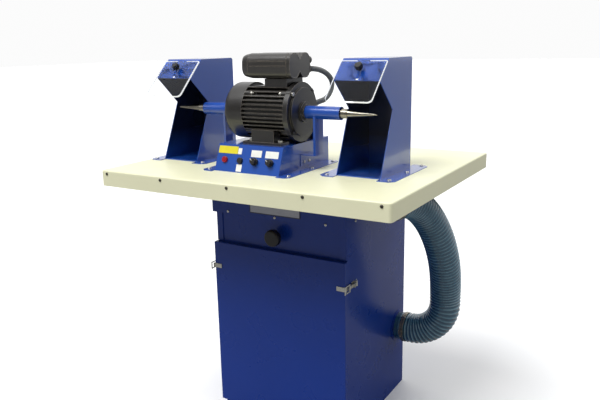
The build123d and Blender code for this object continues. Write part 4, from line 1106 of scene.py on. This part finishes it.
# -------- stage
CAMERA_PLACE = (1.0946, -1.8752, 1.2409)
CAMERA_YAW, CAMERA_PITCH, CAMERA_ROLL = radians(31.5), radians(-13.5), radians(-1.2)
FOCAL_PIXELS, FRAME_WIDTH = 654.1, 600
SKY_OVERHEAD, SKY_FRONT, SKY_BACK, SKY_SEEN = 0.7, 0.15, 0.95, 0.97
KEY_FROM, KEY_STRENGTH = (-0.25, -0.60, 1.0), 2.6
FLOOR_REACH, FLOOR_ALBEDO = 40.0, 0.28


def make_camera():
    """Camera; yaw turns left from +Y, and roll turns it about its own axis."""
    ahead = Vector((-sin(CAMERA_YAW) * cos(CAMERA_PITCH), cos(CAMERA_YAW) * cos(CAMERA_PITCH),
                    sin(CAMERA_PITCH)))
    level = ahead.cross(Vector((0, 0, 1))).normalized()
    above = level.cross(ahead)
    right = cos(CAMERA_ROLL) * level + sin(CAMERA_ROLL) * above
    up = cos(CAMERA_ROLL) * above - sin(CAMERA_ROLL) * level
    data = bpy.data.cameras.new("camera")
    data.sensor_width = 36
    data.lens = FOCAL_PIXELS / FRAME_WIDTH * data.sensor_width
    camera = bpy.data.objects.new("camera", data)
    bpy.context.scene.collection.objects.link(camera)
    turn = Matrix((right, up, -ahead)).transposed().to_4x4()
    camera.matrix_world = Matrix.Translation(CAMERA_PLACE) @ turn
    bpy.context.scene.camera = camera


def make_floor():
    """Pale floor; rays that don't come from the camera see it duller, so it throws less light."""
    s = Shader("pale_floor")
    pale = s.mix(s.remap(s.noise(2, 4), 0.3, 0.7), srgb(240, 241, 242), srgb(245, 245, 245))
    s.set(Base_Color=s.mix(s.seen(), (FLOOR_ALBEDO, FLOOR_ALBEDO, FLOOR_ALBEDO, 1), pale))
    s.set(Roughness=0.9, Specular_IOR_Level=0.0)
    s.bump(s.noise(60, 4), 0.05, 0.001)
    mesh = bpy.data.meshes.new("floor")
    corners = [(x * FLOOR_REACH, y * FLOOR_REACH, 0)
               for x, y in ((-1, -1), (1, -1), (1, 1), (-1, 1))]
    mesh.from_pydata(corners, [], [(0, 1, 2, 3)])
    mesh.materials.append(s.material)
    floor = bpy.data.objects.new("floor", mesh)
    bpy.context.scene.collection.objects.link(floor)


def make_sky():
    """Soft light: bright overhead, half bright behind the object, dim behind the camera."""
    world = bpy.data.worlds.new("sky")
    world.use_nodes = True
    s = NodeTree(world.node_tree, "Generated")
    up = s.remap(s.axis("Z"), 0, 1)
    overhead = s.math("MULTIPLY", s.math("MULTIPLY", up, up), SKY_OVERHEAD)
    around = s.remap(s.axis("Y"), -0.3, 0.8, SKY_FRONT, SKY_BACK)
    strength = s.remap(s.seen(), 0, 1, s.math("ADD", overhead, around), SKY_SEEN)
    s.feed(world.node_tree.nodes["Background"].inputs["Strength"], strength)
    world.node_tree.nodes["Background"].inputs["Color"].default_value = (1, 1, 1, 1)
    bpy.context.scene.world = world
    bpy.context.scene.view_settings.view_transform = "Standard"


def make_key():
    """One soft sun from the front left."""
    sun = bpy.data.lights.new("key", "SUN")
    sun.energy, sun.angle = KEY_STRENGTH, radians(35)
    lamp = bpy.data.objects.new("key", sun)
    lamp.rotation_euler = (-Vector(KEY_FROM)).to_track_quat("-Z", "Y").to_euler()
    bpy.context.scene.collection.objects.link(lamp)


dress_nodes()
make_hoses()
make_clamps()
make_conduit()
make_screws()
make_dial_marks()
make_capacitor_housing()
make_filter_bags()
make_floor()
make_sky()
make_key()
make_camera()
